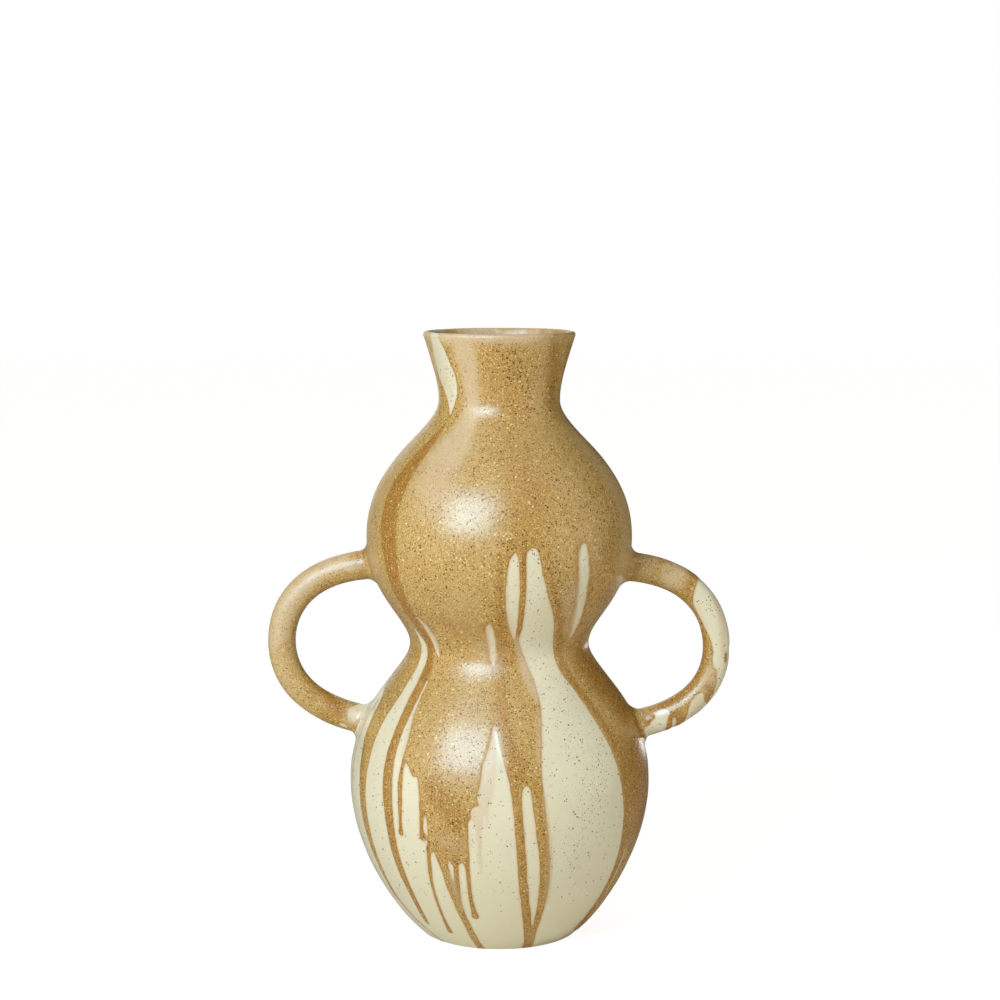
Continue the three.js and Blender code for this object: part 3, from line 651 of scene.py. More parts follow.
class Outline:
    """The body's outline as dense points, from the foot over the rim's rounding.

    Five Bezier curves run between the stations, upright at all but the foot and the rim; a half
    circle as wide as the rim's wall closes the top.
    """

    def __init__(self, size):
        self.size = size
        upright, rim_way = lean_way(0.0), lean_way(RIM_LEAN)
        half_rim = size.rim_wall / 2
        rim_centre = np.array([size.rim_radius, size.rim_height - half_rim])
        rim_start = rim_centre + half_rim * np.array([rim_way[1], -rim_way[0]])
        stations = [
            (np.array([size.foot_radius, 0.0]), lean_way(FOOT_LEAN), (0.0, FOOT_HOLD)),
            (np.array([size.belly_radius, size.belly_height]), upright, BELLY_HOLD),
            (np.array([size.waist_radius, size.waist_height]), upright, WAIST_HOLD),
            (np.array([size.shoulder_radius, size.shoulder_height]), upright, SHOULDER_HOLD),
            (np.array([size.throat_radius, size.throat_height]), upright, THROAT_HOLD),
            (rim_start, rim_way, (RIM_HOLD, 0.0)),
        ]
        parts = []
        for (low, low_way, low_hold), (high, high_way, high_hold) in zip(stations, stations[1:]):
            rise = high[1] - low[1]
            part = bezier(low, low + low_way * low_hold[1] * rise,
                          high - high_way * high_hold[0] * rise, high)
            parts.append(part[:-1])
        self.side = np.concatenate(parts + [rim_start[None]])
        turn = np.radians(np.linspace(-RIM_LEAN, 180.0 - RIM_LEAN, CURVE_POINTS))
        rounding = rim_centre + half_rim * np.stack([np.cos(turn), np.sin(turn)], 1)
        self.points = np.concatenate([self.side, rounding[1:]])
        self.normals = normals_of(self.points)
        self.arc = along(self.points)
        self.rim_arc = self.arc[len(self.side) - 1]
        self.crest_row = int(np.argmax(self.points[:, 1]))
        self.crest_arc = self.arc[self.crest_row]

    def at(self, arc):
        """Point and normal at distances along the outline."""
        return looked_up(arc, self.arc, self.points), unit(looked_up(arc, self.arc, self.normals))

    def arc_at(self, height):
        """Distance along the outside at a height; beyond foot and crest it runs on straight."""
        height = np.asarray(height, float)
        top = self.points[self.crest_row, 1]
        inside = np.interp(height, self.points[:self.crest_row + 1, 1],
                           self.arc[:self.crest_row + 1])
        return inside + np.minimum(height, 0.0) + np.maximum(height - top, 0.0)

    def side_at(self, height):
        """Radius and outward normal of the outside at a height."""
        heights = self.side[:, 1]
        normal = looked_up(height, heights, self.normals[:len(heights)])
        return np.interp(height, heights, self.side[:, 0]), unit(normal)

    def place_at(self, height):
        """Radius and height of the outside at a height."""
        return np.array([float(self.side_at(height)[0]), float(height)])

    def wall_point(self, height, depth_share, shift=0.0):
        """Points in the wall: the outline moved in along its normal by a share of the wall."""
        height = np.atleast_1d(np.asarray(height, float))
        radius, normal = self.side_at(height)
        size = self.size
        top = self.side[-1, 1]
        share = np.clip((height - size.throat_height) / (top - size.throat_height), 0.0, 1.0)
        wall = size.wall + (size.rim_wall - size.wall) * share
        depth = wall * depth_share + shift
        return np.stack([radius, height], 1) - normal * depth[:, None]

    def lap(self, seam, way):
        """Corners of a lapped rim above a seam, half a layer of slip off the wall's middle.

        With way 1 they are the tongue's, from outside to inside; with way -1 the skirt's over
        it, from inside to outside.
        """
        half_gap = way * self.size.slip_gap / 2
        top = seam + self.size.lap - half_gap
        low = self.wall_point(seam, 0.5, half_gap)[0]
        high = self.wall_point(top, 0.5, half_gap)[0]
        inner = self.wall_point(top, 1.0)[0]
        return (low, high, inner)[::way]


# Glaze pattern


def smooth_step(low, high, value):
    """Zero below low, one above high, and a smooth S between them."""
    share = np.clip((value - low) / (high - low), 0.0, 1.0)
    return share * share * (3.0 - 2.0 * share)


def round_off(points, closed, times=2):
    """Cuts a polygon's or polyline's corners at a quarter and three quarters of each side."""
    for _ in range(times):
        here = points if closed else points[:-1]
        following = np.roll(points, -1, axis=0) if closed else points[1:]
        spots = np.stack([0.75 * here + 0.25 * following, 0.25 * here + 0.75 * following], 1)
        spots = spots.reshape(-1, points.shape[1])
        points = spots if closed else np.concatenate([points[:1], spots, points[-1:]])
    return points


class GlazeCloth:
    """Points of a surface laid out flat: degrees round it, mm along it and mm per degree there."""

    def __init__(self, angle, along_mm, per_degree, to_along=None):
        self.angle = angle
        self.along = along_mm
        self.per_degree = per_degree
        self.to_along = to_along or (lambda value: value)

    def near(self, points, margin):
        """Indices of the points within a margin of a mark, and their angles next to the mark's."""
        middle = (points[:, 0].min() + points[:, 0].max()) / 2
        half = (points[:, 0].max() - points[:, 0].min()) / 2
        angle = (self.angle - middle + 180.0) % 360.0 - 180.0 + middle
        low, high = points[:, 1].min() - margin, points[:, 1].max() + margin
        close = (np.abs(angle - middle) - half) * self.per_degree < margin
        index = np.flatnonzero(close & (self.along > low) & (self.along < high))
        return index, angle[index]

    def mark(self, points, closed):
        """A mark's points with heights turned into distances along the surface, rounded off."""
        points = np.array(points, float)
        points[:, 1] = self.to_along(points[:, 1])
        return round_off(points, closed)

    def beside(self, start, end, index, angle):
        """Distance in mm of points from one side of a mark, and the share along it where the
        nearest spot lies: the foot of the perpendicular, kept between the side's ends."""
        scale = self.per_degree[index]
        x, y = (start[0] - angle) * scale, start[1] - self.along[index]
        step_x, step_y = (end[0] - start[0]) * scale, end[1] - start[1]
        share = -(x * step_x + y * step_y) / np.maximum(step_x**2 + step_y**2, 1e-9)
        share = np.clip(share, 0.0, 1.0)
        return np.hypot(x + share * step_x, y + share * step_y), share

    def area(self, points, margin=REACH):
        """Signed distance to an outline in mm, positive inside: the nearest side's distance,
        with the sign from how many sides a level line crosses."""
        points = self.mark(points, True)
        index, angle = self.near(points, margin)
        height = self.along[index]
        nearest = np.full(len(index), margin)
        inside = np.zeros(len(index), bool)
        for start, end in zip(points, np.roll(points, -1, axis=0)):
            nearest = np.minimum(nearest, self.beside(start, end, index, angle)[0])
            if start[1] != end[1]:
                share = (height - start[1]) / (end[1] - start[1])
                spans = (start[1] > height) != (end[1] > height)
                inside ^= spans & (angle < start[0] + (end[0] - start[0]) * share)
        return index, np.where(inside, nearest, -nearest)

    def line(self, points, margin=REACH):
        """Signed distance to a line of changing width in mm, positive inside it."""
        points = self.mark(points, False)
        index, angle = self.near(points, margin + points[:, 2].max() / 2)
        best = np.full(len(index), -margin)
        for start, end in zip(points[:-1], points[1:]):
            distance, share = self.beside(start, end, index, angle)
            half = (start[2] + (end[2] - start[2]) * share) / 2
            best = np.maximum(best, half - distance)
        return index, best


def pour(cover, index, distance):
    """Joins a mark to the brown: the greater distance, with a fillet where both are close."""
    here = cover[index]
    fillet = np.maximum(POUR_BLEND - np.abs(here - distance), 0.0) ** 2 / (4 * POUR_BLEND)
    cover[index] = np.maximum(here, distance) + fillet


def cut(cover, index, distance):
    """Takes a mark out of the brown, with a fillet where both edges are close."""
    here = cover[index]
    fillet = np.maximum(CUT_BLEND - np.abs(here + distance), 0.0) ** 2 / (4 * CUT_BLEND)
    cover[index] = np.minimum(here, -distance) - fillet


def raise_to(values, index, wanted):
    """Raises values to the wanted ones where these are greater."""
    values[index] = np.maximum(values[index], wanted)


def wander(points, seed, longest, shortest, waves=14):
    """Gentle unevenness between about -1 and 1: sine waves of several lengths, given in mm, in
    set directions."""
    draw = np.random.default_rng(seed)
    total = np.zeros(len(points))
    for _ in range(waves):
        way = draw.normal(size=3)
        way /= np.linalg.norm(way)
        length = shortest * MM * (longest / shortest) ** draw.random()
        total += np.sin(points @ way * (2 * math.pi / length) + draw.random() * 2 * math.pi)
    return total / math.sqrt(waves)


def glaze(cloth, places, base, marks, seed):
    """All glaze values at the points of a surface.

    cover is the distance in mm inside the brown glaze; caramel, veil, deep and pepper run from
    0 to 1. The brown pours are joined first, then the cream is cut out and the runs are laid on.
    """
    cover = np.array(base, float)
    values = {name: np.zeros(len(cover)) for name in ("caramel", "veil", "deep", "pepper")}
    for points in marks.get("brown_areas", []):
        pour(cover, *cloth.area(points))
    for points in marks.get("cream_areas", []):
        cut(cover, *cloth.area(points))
    for points in marks.get("faded_areas", []):
        index, distance = cloth.area(points)
        cut(cover, index, np.where(distance > 0, distance, distance * FADE))
    for points in marks.get("cream_lines", []):
        cut(cover, *cloth.line(points))
    for strength, points in marks.get("runs", []):
        index, distance = cloth.line(points)
        pour(cover, index, distance)
        raise_to(values["caramel"], index, strength * smooth_step(*RUN_EDGE, distance))
    for kind, name, measure in (
            ("caramel_lines", "caramel", cloth.line), ("caramel_and_shade_areas", "caramel", cloth.area),
            ("veils_and_painted_light", "veil", cloth.area), ("veil_lines", "veil", cloth.line),
            ("deep_and_shade_lines", "deep", cloth.line), ("pepper_lines", "pepper", cloth.line)):
        for points, strength, soft in marks.get(kind, []):
            index, distance = measure(points, REACH + soft)
            raise_to(values[name], index, strength * smooth_step(-soft, soft, distance))
    values["cover"] = cover + WANDER * wander(places, seed, *WANDER_WAVES)
    return values


def body_glaze(outline, angle, arc, places):
    """Glaze values of body points, given by degrees, distance along the outline and place."""
    point, _ = outline.at(arc)
    per_degree = np.radians(1.0) * point[..., 0] / MM
    cloth = GlazeCloth(angle, arc / MM, per_degree,
                       lambda height: outline.arc_at(height * MM) / MM)
    base = arc / MM - cloth.to_along(WAIST_EDGE)
    values = glaze(cloth, places, np.clip(base, -REACH, REACH), BODY_MARKS, BODY_SEED)
    rim = smooth_step(*cloth.to_along(np.array(RIM_VEIL_START)), arc / MM)
    rim = RIM_VEIL * rim * smooth_step(*RIM_VEIL_EDGE, values["cover"])
    rim *= 1.0 - RIM_LOSS * smooth_step(*RIM_LOSS_START, places[:, 0] / MM)
    values["veil"] = np.maximum(values["veil"], rim)
    values["pepper"] -= FOOT_LOSS * (1.0 - smooth_step(*FOOT_LOSS_END, places[:, 2] / MM))
    return values


def relief(glazes, places, settings):
    """Height of the glazed surface over the outline in metres, never above it.

    The brown stands on the cream with a rounded edge, one less a falling exponential of the
    distance inside it, and low waves keep the surface from being perfect.
    """
    rise = 1.0 - np.exp(-np.maximum(glazes["cover"] + RISE_START, 0.0) / RISE_WIDTH)
    bead = RUN_BEAD * glazes["caramel"] * smooth_step(*BEAD_START, glazes["cover"])
    uneven = UNEVEN * MM * wander(places, UNEVEN_SEED, *UNEVEN_WAVES)
    height = -settings.cream_level + settings.brown_rise * (RISE_SHARE * rise + bead)
    return np.minimum(height + uneven, -SHALLOWEST)


# Meshes


def grid_normals(points):
    """Normals of a grid of points: the cross product of its differences along both ways."""
    across = np.roll(points, -1, axis=1) - np.roll(points, 1, axis=1)
    return unit(np.cross(across, np.gradient(points, axis=0)))


def grid_mesh(name, points, lower, upper, fields, rows_closed=False, poles=(None, None)):
    """Closed mesh from a grid of points whose columns close on themselves.

    Quads join neighbouring rows; a pole closes an end with a fan. lower and upper are the
    normals of each band of quads at its lower and upper row.
    """
    rows, columns = points.shape[:2]
    vertices = points.reshape(-1, 3)
    row, column = np.arange(rows if rows_closed else rows - 1)[:, None], np.arange(columns)
    here, above = row * columns, (row + 1) % rows * columns
    right = np.roll(column, -1)
    quads = np.stack([here + column, here + right, above + right, above + column], -1)
    corners, sizes = [quads.reshape(-1)], [np.full(quads.shape[0] * columns, 4)]
    bands = [lower, np.roll(lower, -1, 1), np.roll(upper, -1, 1), upper]
    normals = [np.stack(bands, 2).reshape(-1, 3)]
    for pole, row, way in zip(poles, (0, rows - 1), (-1, 1)):
        if pole is None:
            continue
        ring = row * columns + column
        tips = np.full(columns, len(vertices))
        ends = [ring, np.roll(ring, -1)][::way]
        vertices = np.concatenate([vertices, [pole]])
        corners.append(np.stack([*ends, tips], -1).reshape(-1))
        sizes.append(np.full(columns, 3))
        normals.append(np.zeros((3 * columns, 3)))
    corners, sizes = np.concatenate(corners), np.concatenate(sizes)
    mesh = bpy.data.meshes.new(name)
    mesh.vertices.add(len(vertices))
    mesh.vertices.foreach_set("co", vertices.reshape(-1).astype(np.float32))
    mesh.loops.add(len(corners))
    mesh.loops.foreach_set("vertex_index", corners.astype(np.int32))
    mesh.polygons.add(len(sizes))
    mesh.polygons.foreach_set("loop_start", (np.cumsum(sizes) - sizes).astype(np.int32))
    mesh.polygons.foreach_set("use_smooth", np.ones(len(sizes), bool))
    mesh.update(calc_edges=True)
    if mesh.validate():
        raise RuntimeError(f"{name}: the mesh had faults")
    mesh.normals_split_custom_set(np.concatenate(normals).astype(np.float32))
    for field, values in fields.items():
        layer = mesh.attributes.new("glaze_" + field, "FLOAT", "POINT")
        values = values.reshape(-1)
        padded = np.pad(values, (0, len(vertices) - len(values)), "edge")
        layer.data.foreach_set("value", padded.astype(np.float32))
    return mesh


def show(name, mesh, material, node):
    """Puts a finished mesh into the scene in place of a CAD node."""
    mesh.materials.append(material)
    piece = bpy.data.objects.new(name, mesh)
    bpy.context.scene.collection.objects.link(piece)
    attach(piece, "root")
    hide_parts(node)


def turned(profile, angles):
    """Points of a profile turned about the axis: radius and height carried round the angles."""
    radius, height = profile[:, :1], profile[:, 1:]
    turn = np.radians(angles)
    return np.stack([radius * np.sin(turn), -radius * np.cos(turn),
                     height + np.zeros_like(turn)], -1)


def rows_between(start, end, spacing):
    """Even steps from start to end, about as long as the spacing."""
    count = max(2, int(round(abs(end - start) / spacing)) + 1)
    return np.linspace(start, end, count)


class BodySkin:
    """The whole outside of the body as one grid, glazed and uneven, later parted at its seams."""

    def __init__(self, size, settings):
        self.outline = outline = Outline(size)
        self.angles = np.arange(COLUMNS) * (360.0 / COLUMNS)
        waist = float(outline.arc_at(size.waist_seam))
        neck = float(outline.arc_at(size.neck_seam))
        lower = rows_between(0.0, waist, BULB_ROW)
        upper = rows_between(waist, neck, BULB_ROW)
        throat = rows_between(neck, outline.rim_arc, NECK_ROW)
        rim = np.linspace(outline.rim_arc, outline.arc[-1], RIM_ROWS)
        arc = np.concatenate([lower, upper[1:], throat[1:], rim[1:]])
        self.waist_row = len(lower) - 1
        self.neck_row = self.waist_row + len(upper) - 1
        self.last_row = len(arc) - 1
        profile, normal = outline.at(arc)
        flat = turned(profile, self.angles)
        shape = flat.shape[:2]
        places = flat.reshape(-1, 3)
        fields = body_glaze(outline, np.tile(self.angles, len(arc)), np.repeat(arc, COLUMNS), places)
        height = relief(fields, places, settings).reshape(shape)
        inner_side = smooth_step(outline.crest_arc, outline.arc[-1], arc)[:, None]
        foot_side = smooth_step(0.0, RELIEF_START, arc)[:, None]
        height = height * foot_side * (1.0 - inner_side)
        self.points = flat + turned(normal, self.angles) * height[..., None]
        self.points[..., 2] = np.maximum(self.points[..., 2], 0.0)
        self.normals = grid_normals(self.points)
        self.fields = {name: values.reshape(shape) for name, values in fields.items()}
        self.fields["lining"] = inner_side + np.zeros(shape)
        self.fields["bare"] = np.zeros(shape)

    def strip(self, kind, profile, kept):
        """One polyline turned round: its kept points, the normals of its bands and its values."""
        points, ways = turned(profile, self.angles)[kept], turned(normals_of(profile), self.angles)
        values = {"cover": FULL_COVER, kind: 1.0}
        fields = {key: np.full(points.shape[:2], values.get(key, 0.0)) for key in self.fields}
        return points, ways[:-1], ways[1:], fields

    def section(self, name, first, last, under, behind, poles=(None, None)):
        """Closed skin of one thrown section: what lies under it, its outside, then the rest.

        under and behind hold pairs of a kind of surface, bare or lining, and a polyline. They
        meet at sharp corners, where each takes its neighbour's points on the outside's side.
        """
        rows = slice(first, last + 1)
        normals = self.normals[rows]
        outside = {key: values[rows] for key, values in self.fields.items()}
        closed = not under
        strips = [self.strip(*part, slice(None, -1)) for part in under]
        strips.append((self.points[rows], normals[:-1], normals[1:], outside))
        strips += [self.strip(*part, slice(1, None)) for part in behind[:-1]]
        strips.append(self.strip(*behind[-1], slice(1, -1 if closed else None)))
        points, lower, upper, fields = zip(*strips)
        fields = {key: np.concatenate([each[key] for each in fields]) for key in self.fields}
        return grid_mesh(name, np.concatenate(points), np.concatenate(lower),
                         np.concatenate(upper), fields, closed, poles)


def sharp(*points):
    """Bare clay along straight lines from point to point, each with its own normals."""
    return [("bare", np.array(pair)) for pair in zip(points, points[1:])]


def corner_curve(start, way, floor_top):
    """Curve from the wall down onto the floor: a quadratic Bezier curve that leaves along the
    wall and lands level."""
    reach = (start[1] - floor_top) / way[1]
    corner = start - way * reach
    end = np.array([corner[0] - reach, floor_top])
    share = np.linspace(0.0, 1.0, CORNER_ROWS)[:, None]
    return (1 - share) ** 2 * start + 2 * share * (1 - share) * corner + share**2 * end


# Handles


class HandlePath:
    """Middle line of a handle: two Bezier curves from the upper root over the apex to the lower
    root, running on straight into the body at both ends."""

    def __init__(self, outline, size, side, heights):
        upper_z, apex_z, lower_z = heights
        upper, lower = outline.place_at(upper_z), outline.place_at(lower_z)
        apex = np.array([size.reach, apex_z])
        upper_way, lower_way = lean_way(UPPER_LEAN), lean_way(LOWER_LEAN)
        down = bezier(upper, upper + upper_way * UPPER_HOLD * (size.reach - upper[0]),
                      apex + (0.0, APEX_HOLD_ABOVE * (upper_z - apex_z)), apex, PATH_POINTS)
        back = bezier(apex, apex - (0.0, APEX_HOLD_BELOW * (apex_z - lower_z)),
                      lower + lower_way * LOWER_HOLD * (size.reach - lower[0]), lower, PATH_POINTS)
        self.points = np.concatenate([[upper - upper_way * ENTRY], down, back[1:],
                                      [lower - lower_way * ENTRY]])
        self.arc = along(self.points) - ENTRY
        self.length = float(self.arc[-1]) - ENTRY
        self.ways_arc = np.linspace(self.arc[0], self.arc[-1], PATH_WAYS)
        self.outward = -normals_of(looked_up(self.ways_arc, self.arc, self.points))
        self.side = side

    def beside(self, arc, radius, angle):
        """Point beside the middle line: a distance away, at degrees from the camera's side
        towards the outside of the loop."""
        place = looked_up(arc, self.arc, self.points)
        outward = looked_up(arc, self.ways_arc, self.outward)
        rise = radius * np.sin(np.radians(angle))
        x = place[..., 0] + outward[..., 0] * rise
        y = np.zeros_like(x) - radius * np.cos(np.radians(angle))
        z = place[..., 1] + outward[..., 1] * rise
        return np.stack([self.side * x, y, z], -1)


def clearance(outline, points):
    """Distance of points from the body's outline, square to it at their height."""
    radius, normal = outline.side_at(points[..., 2])
    return (np.hypot(points[..., 0], points[..., 1]) - radius) * normal[..., 0]


def landing(path, outline, from_end, radius, wanted, angles):
    """Places along a handle where a bar of that radius is at a clearance from the body, found
    for all angles together by halving."""
    near, far = (np.full(len(angles), bound) for bound in ROOT_SEARCH)
    for _ in range(HALVINGS):
        middle = (near + far) / 2
        arc = path.length - middle if from_end else middle
        low = clearance(outline, path.beside(arc, radius, angles)) < wanted
        near = np.where(low, middle, near)
        far = np.where(low, far, middle)
    return path.length - far if from_end else far


def handle_mesh(name, outline, size, settings, side, heights, marks, seed):
    """Skin of one handle: rings round its middle line, swelling into the body at both roots.

    A root is a quarter circle of the fillet's radius that lands on the body's glaze; inside it
    the bar runs on into the wall and is closed by a pole. Near the body it has the body's glaze
    and takes over its normals, so that no edge shows where they meet.
    """
    path = HandlePath(outline, size, side, heights)
    angles = np.arange(HANDLE_COLUMNS) * (360.0 / HANDLE_COLUMNS)
    root_radius = size.radius + size.root_gain
    widest = root_radius + size.fillet

    def body_values(points):
        """Glaze values of the body beside points of the handle."""
        angle = np.degrees(np.arctan2(points[:, 0], -points[:, 1]))
        return body_glaze(outline, angle, outline.arc_at(points[:, 2]), points)

    def root_rings(from_end):
        """Places and radii of a root's rings, from inside the wall to the plain bar."""
        guess = landing(path, outline, from_end, widest, -settings.cream_level, angles)
        ground = path.beside(guess, widest, angles)
        surface = relief(body_values(ground), ground, settings) + ON_GLAZE
        arcs = [landing(path, outline, from_end, widest, -BURIED, angles)]
        radii = [widest]
        for turn in np.linspace(0.0, math.pi / 2, FLARE_ROWS + 1):
            radii.append(widest - size.fillet * math.sin(turn))
            arcs.append(landing(path, outline, from_end, radii[-1],
                                surface + size.fillet * (1 - math.cos(turn)), angles))
        return np.array(arcs), np.array(radii)[:, None]

    start_arcs, start_radii = root_rings(False)
    end_arcs, end_radii = root_rings(True)
    first = ROOT_ROOM * size.fillet
    last = path.length - first
    blend = (np.arange(1, BLEND_ROWS) / BLEND_ROWS)[:, None]
    middle = rows_between(first, last, HANDLE_ROW)[:, None] + np.zeros(HANDLE_COLUMNS)
    arcs = np.concatenate([start_arcs, start_arcs[-1] + (first - start_arcs[-1]) * blend, middle,
                           last + (end_arcs[-1] - last) * blend, end_arcs[::-1]])

    share = np.clip(arcs / path.length, 0.0, 1.0)
    apex = np.exp(-((share - 0.5) / APEX_SPREAD) ** 2)
    radii = size.radius + size.root_gain * (2.0 * share - 1.0) ** 4 - size.apex_loss * apex
    radii[:len(start_radii)] += start_radii - root_radius
    radii[-len(end_radii):] += end_radii[::-1] - root_radius
    flat = path.beside(arcs, radii, angles[None]).reshape(-1, 3)
    cloth = GlazeCloth(np.tile(angles, len(arcs)), arcs.reshape(-1) / MM,
                       np.full(arcs.size, np.radians(1.0) * size.radius / MM))
    values = glaze(cloth, flat, np.full(arcs.size, REACH), marks, seed)
    shared = 1.0 - smooth_step(*SHARED_GLAZE, clearance(outline, flat))
    for key, body_value in body_values(flat).items():
        values[key] = values[key] * (1 - shared) + body_value * shared
    drop = relief(values, flat, settings) * (1 - shared)
    points = path.beside(arcs, radii + drop.reshape(arcs.shape), angles[None])

    normals = grid_normals(points) * -side
    way = outline.side_at(points[..., 2])[1]
    turn = np.arctan2(points[..., 0], -points[..., 1])
    body_ways = np.stack([way[..., 0] * np.sin(turn), -way[..., 0] * np.cos(turn), way[..., 1]], -1)
    lean = (shared.reshape(arcs.shape) ** 2)[..., None]
    normals = unit(normals * (1 - lean) + body_ways * lean)
    fields = {key: value.reshape(arcs.shape) for key, value in values.items()}
    fields["lining"] = fields["bare"] = np.zeros(arcs.shape)
    poles = [path.beside(np.array([arc]), 0.0, 0.0)[0]
             for arc in (-POLE_DEPTH, path.length + POLE_DEPTH)]
    if side > 0:
        points, normals = points[:, ::-1], normals[:, ::-1]
        fields = {key: value[:, ::-1] for key, value in fields.items()}
    return grid_mesh(name, points, normals[:-1], normals[1:], fields, poles=poles)


# Materials


class Value:
    """A number that a node puts out; each sum, difference or product adds a Math node."""

    def __init__(self, wires, socket):
        self.wires = wires
        self.socket = socket

    def __add__(self, other):
        return self.wires.math("ADD", self, other)

    def __sub__(self, other):
        return self.wires.math("SUBTRACT", self, other)

    def __rsub__(self, other):
        return self.wires.math("SUBTRACT", other, self)

    def __mul__(self, other):
        return self.wires.math("MULTIPLY", self, other)


class Wires:
    """Adds nodes to one emptied node tree. An input is a number, a colour, a Value or another
    node's output."""

    def __init__(self, tree):
        self.tree = tree
        tree.nodes.clear()

    def add(self, kind, inputs=None, **settings):
        """New node with its inputs fed and its settings made."""
        node = self.tree.nodes.new(kind)
        node.location = (190 * (len(self.tree.nodes) % 9), -230 * (len(self.tree.nodes) // 9))
        for name, value in settings.items():
            setattr(node, name, value)
        for name, value in (inputs or {}).items():
            value = value.socket if isinstance(value, Value) else value
            if isinstance(value, bpy.types.NodeSocket):
                self.tree.links.new(value, node.inputs[name])
            else:
                node.inputs[name].default_value = value
        return node

    def value(self, kind, output, inputs=None, **settings):
        """The number that a new node puts out."""
        return Value(self, self.add(kind, inputs, **settings).outputs[output])

    def math(self, operation, first, second):
        """One operation on two numbers."""
        return self.value("ShaderNodeMath", 0, {0: first, 1: second}, operation=operation)

    def step(self, low, high, value):
        """Zero below low, one above high, smooth between; with low above high it falls."""
        return self.value("ShaderNodeMapRange", "Result",
                          {"Value": value, "From Min": low, "From Max": high},
                          interpolation_type="SMOOTHSTEP")

    def coats(self, colour, *coats):
        """A colour with others laid over it in turn, each given as its share and the colour."""
        for share, coat in coats:
            inputs = {0: share, 6: colour, 7: coat}
            colour = self.add("ShaderNodeMix", inputs, data_type="RGBA").outputs[2]
        return colour

    def noise(self, place, scale, detail, roughness=0.55):
        """Soft noise of a scale in waves per metre."""
        return self.value("ShaderNodeTexNoise", "Fac", {
            "Vector": place, "Scale": scale, "Detail": detail, "Roughness": roughness})

    def specks(self, place, scale, size, spread, share):
        """Round specks: one in each cell of a set share, most of them small."""
        cells = self.add("ShaderNodeTexVoronoi", {"Vector": place, "Scale": scale,
                                                  "Randomness": 1.0})
        parts = self.add("ShaderNodeSeparateColor", {"Color": cells.outputs["Color"]}).outputs
        reach = self.math("POWER", parts[0], 3.0) * spread + size
        spot = self.step(-0.035, 0.035, reach - cells.outputs["Distance"])
        return spot * self.math("LESS_THAN", parts[1], share)

    def seen(self):
        """One where the camera looks, straight, in a reflection or through something clear."""
        path = self.add("ShaderNodeLightPath").outputs
        plain = self.math("MAXIMUM", path["Is Camera Ray"], path["Is Glossy Ray"])
        return self.math("MAXIMUM", plain, path["Is Transmission Ray"])


def new_material(name):
    """New material and the wires of its empty node tree."""
    material = bpy.data.materials.new(name)
    material.use_nodes = True
    return material, Wires(material.node_tree)


GLAZE_COLOURS = {
    "Cream": "cream", "Brown": "brown", "Caramel": "caramel", "Deep Brown": "deep",
    "Veil": "veil", "Light Specks": "light_speck", "Dark Specks": "dark_speck",
    "Iron Specks": "iron", "Bare Clay": "bare_clay",
}
# Cells per metre, least radius and how much more the largest has, both in cells, and the share
# of the cells that hold a speck
SPECKS = {
    "light": (950.0, 0.19, 0.22, 0.5),
    "large light": (420.0, 0.13, 0.20, 0.45),
    "pale": (1330.0, 0.25, 0.12, 0.5),
    "dark": (840.0, 0.25, 0.19, 0.46),
    "large dark": (430.0, 0.12, 0.15, 0.3),
    "dust": (1390.0, 0.26, 0.12, 0.7),
    "sprinkled": (500.0, 0.15, 0.2, 0.85),
    "iron": (860.0, 0.17, 0.28, 0.6),
    "iron dust": (1010.0, 0.19, 0.12, 0.35),
}


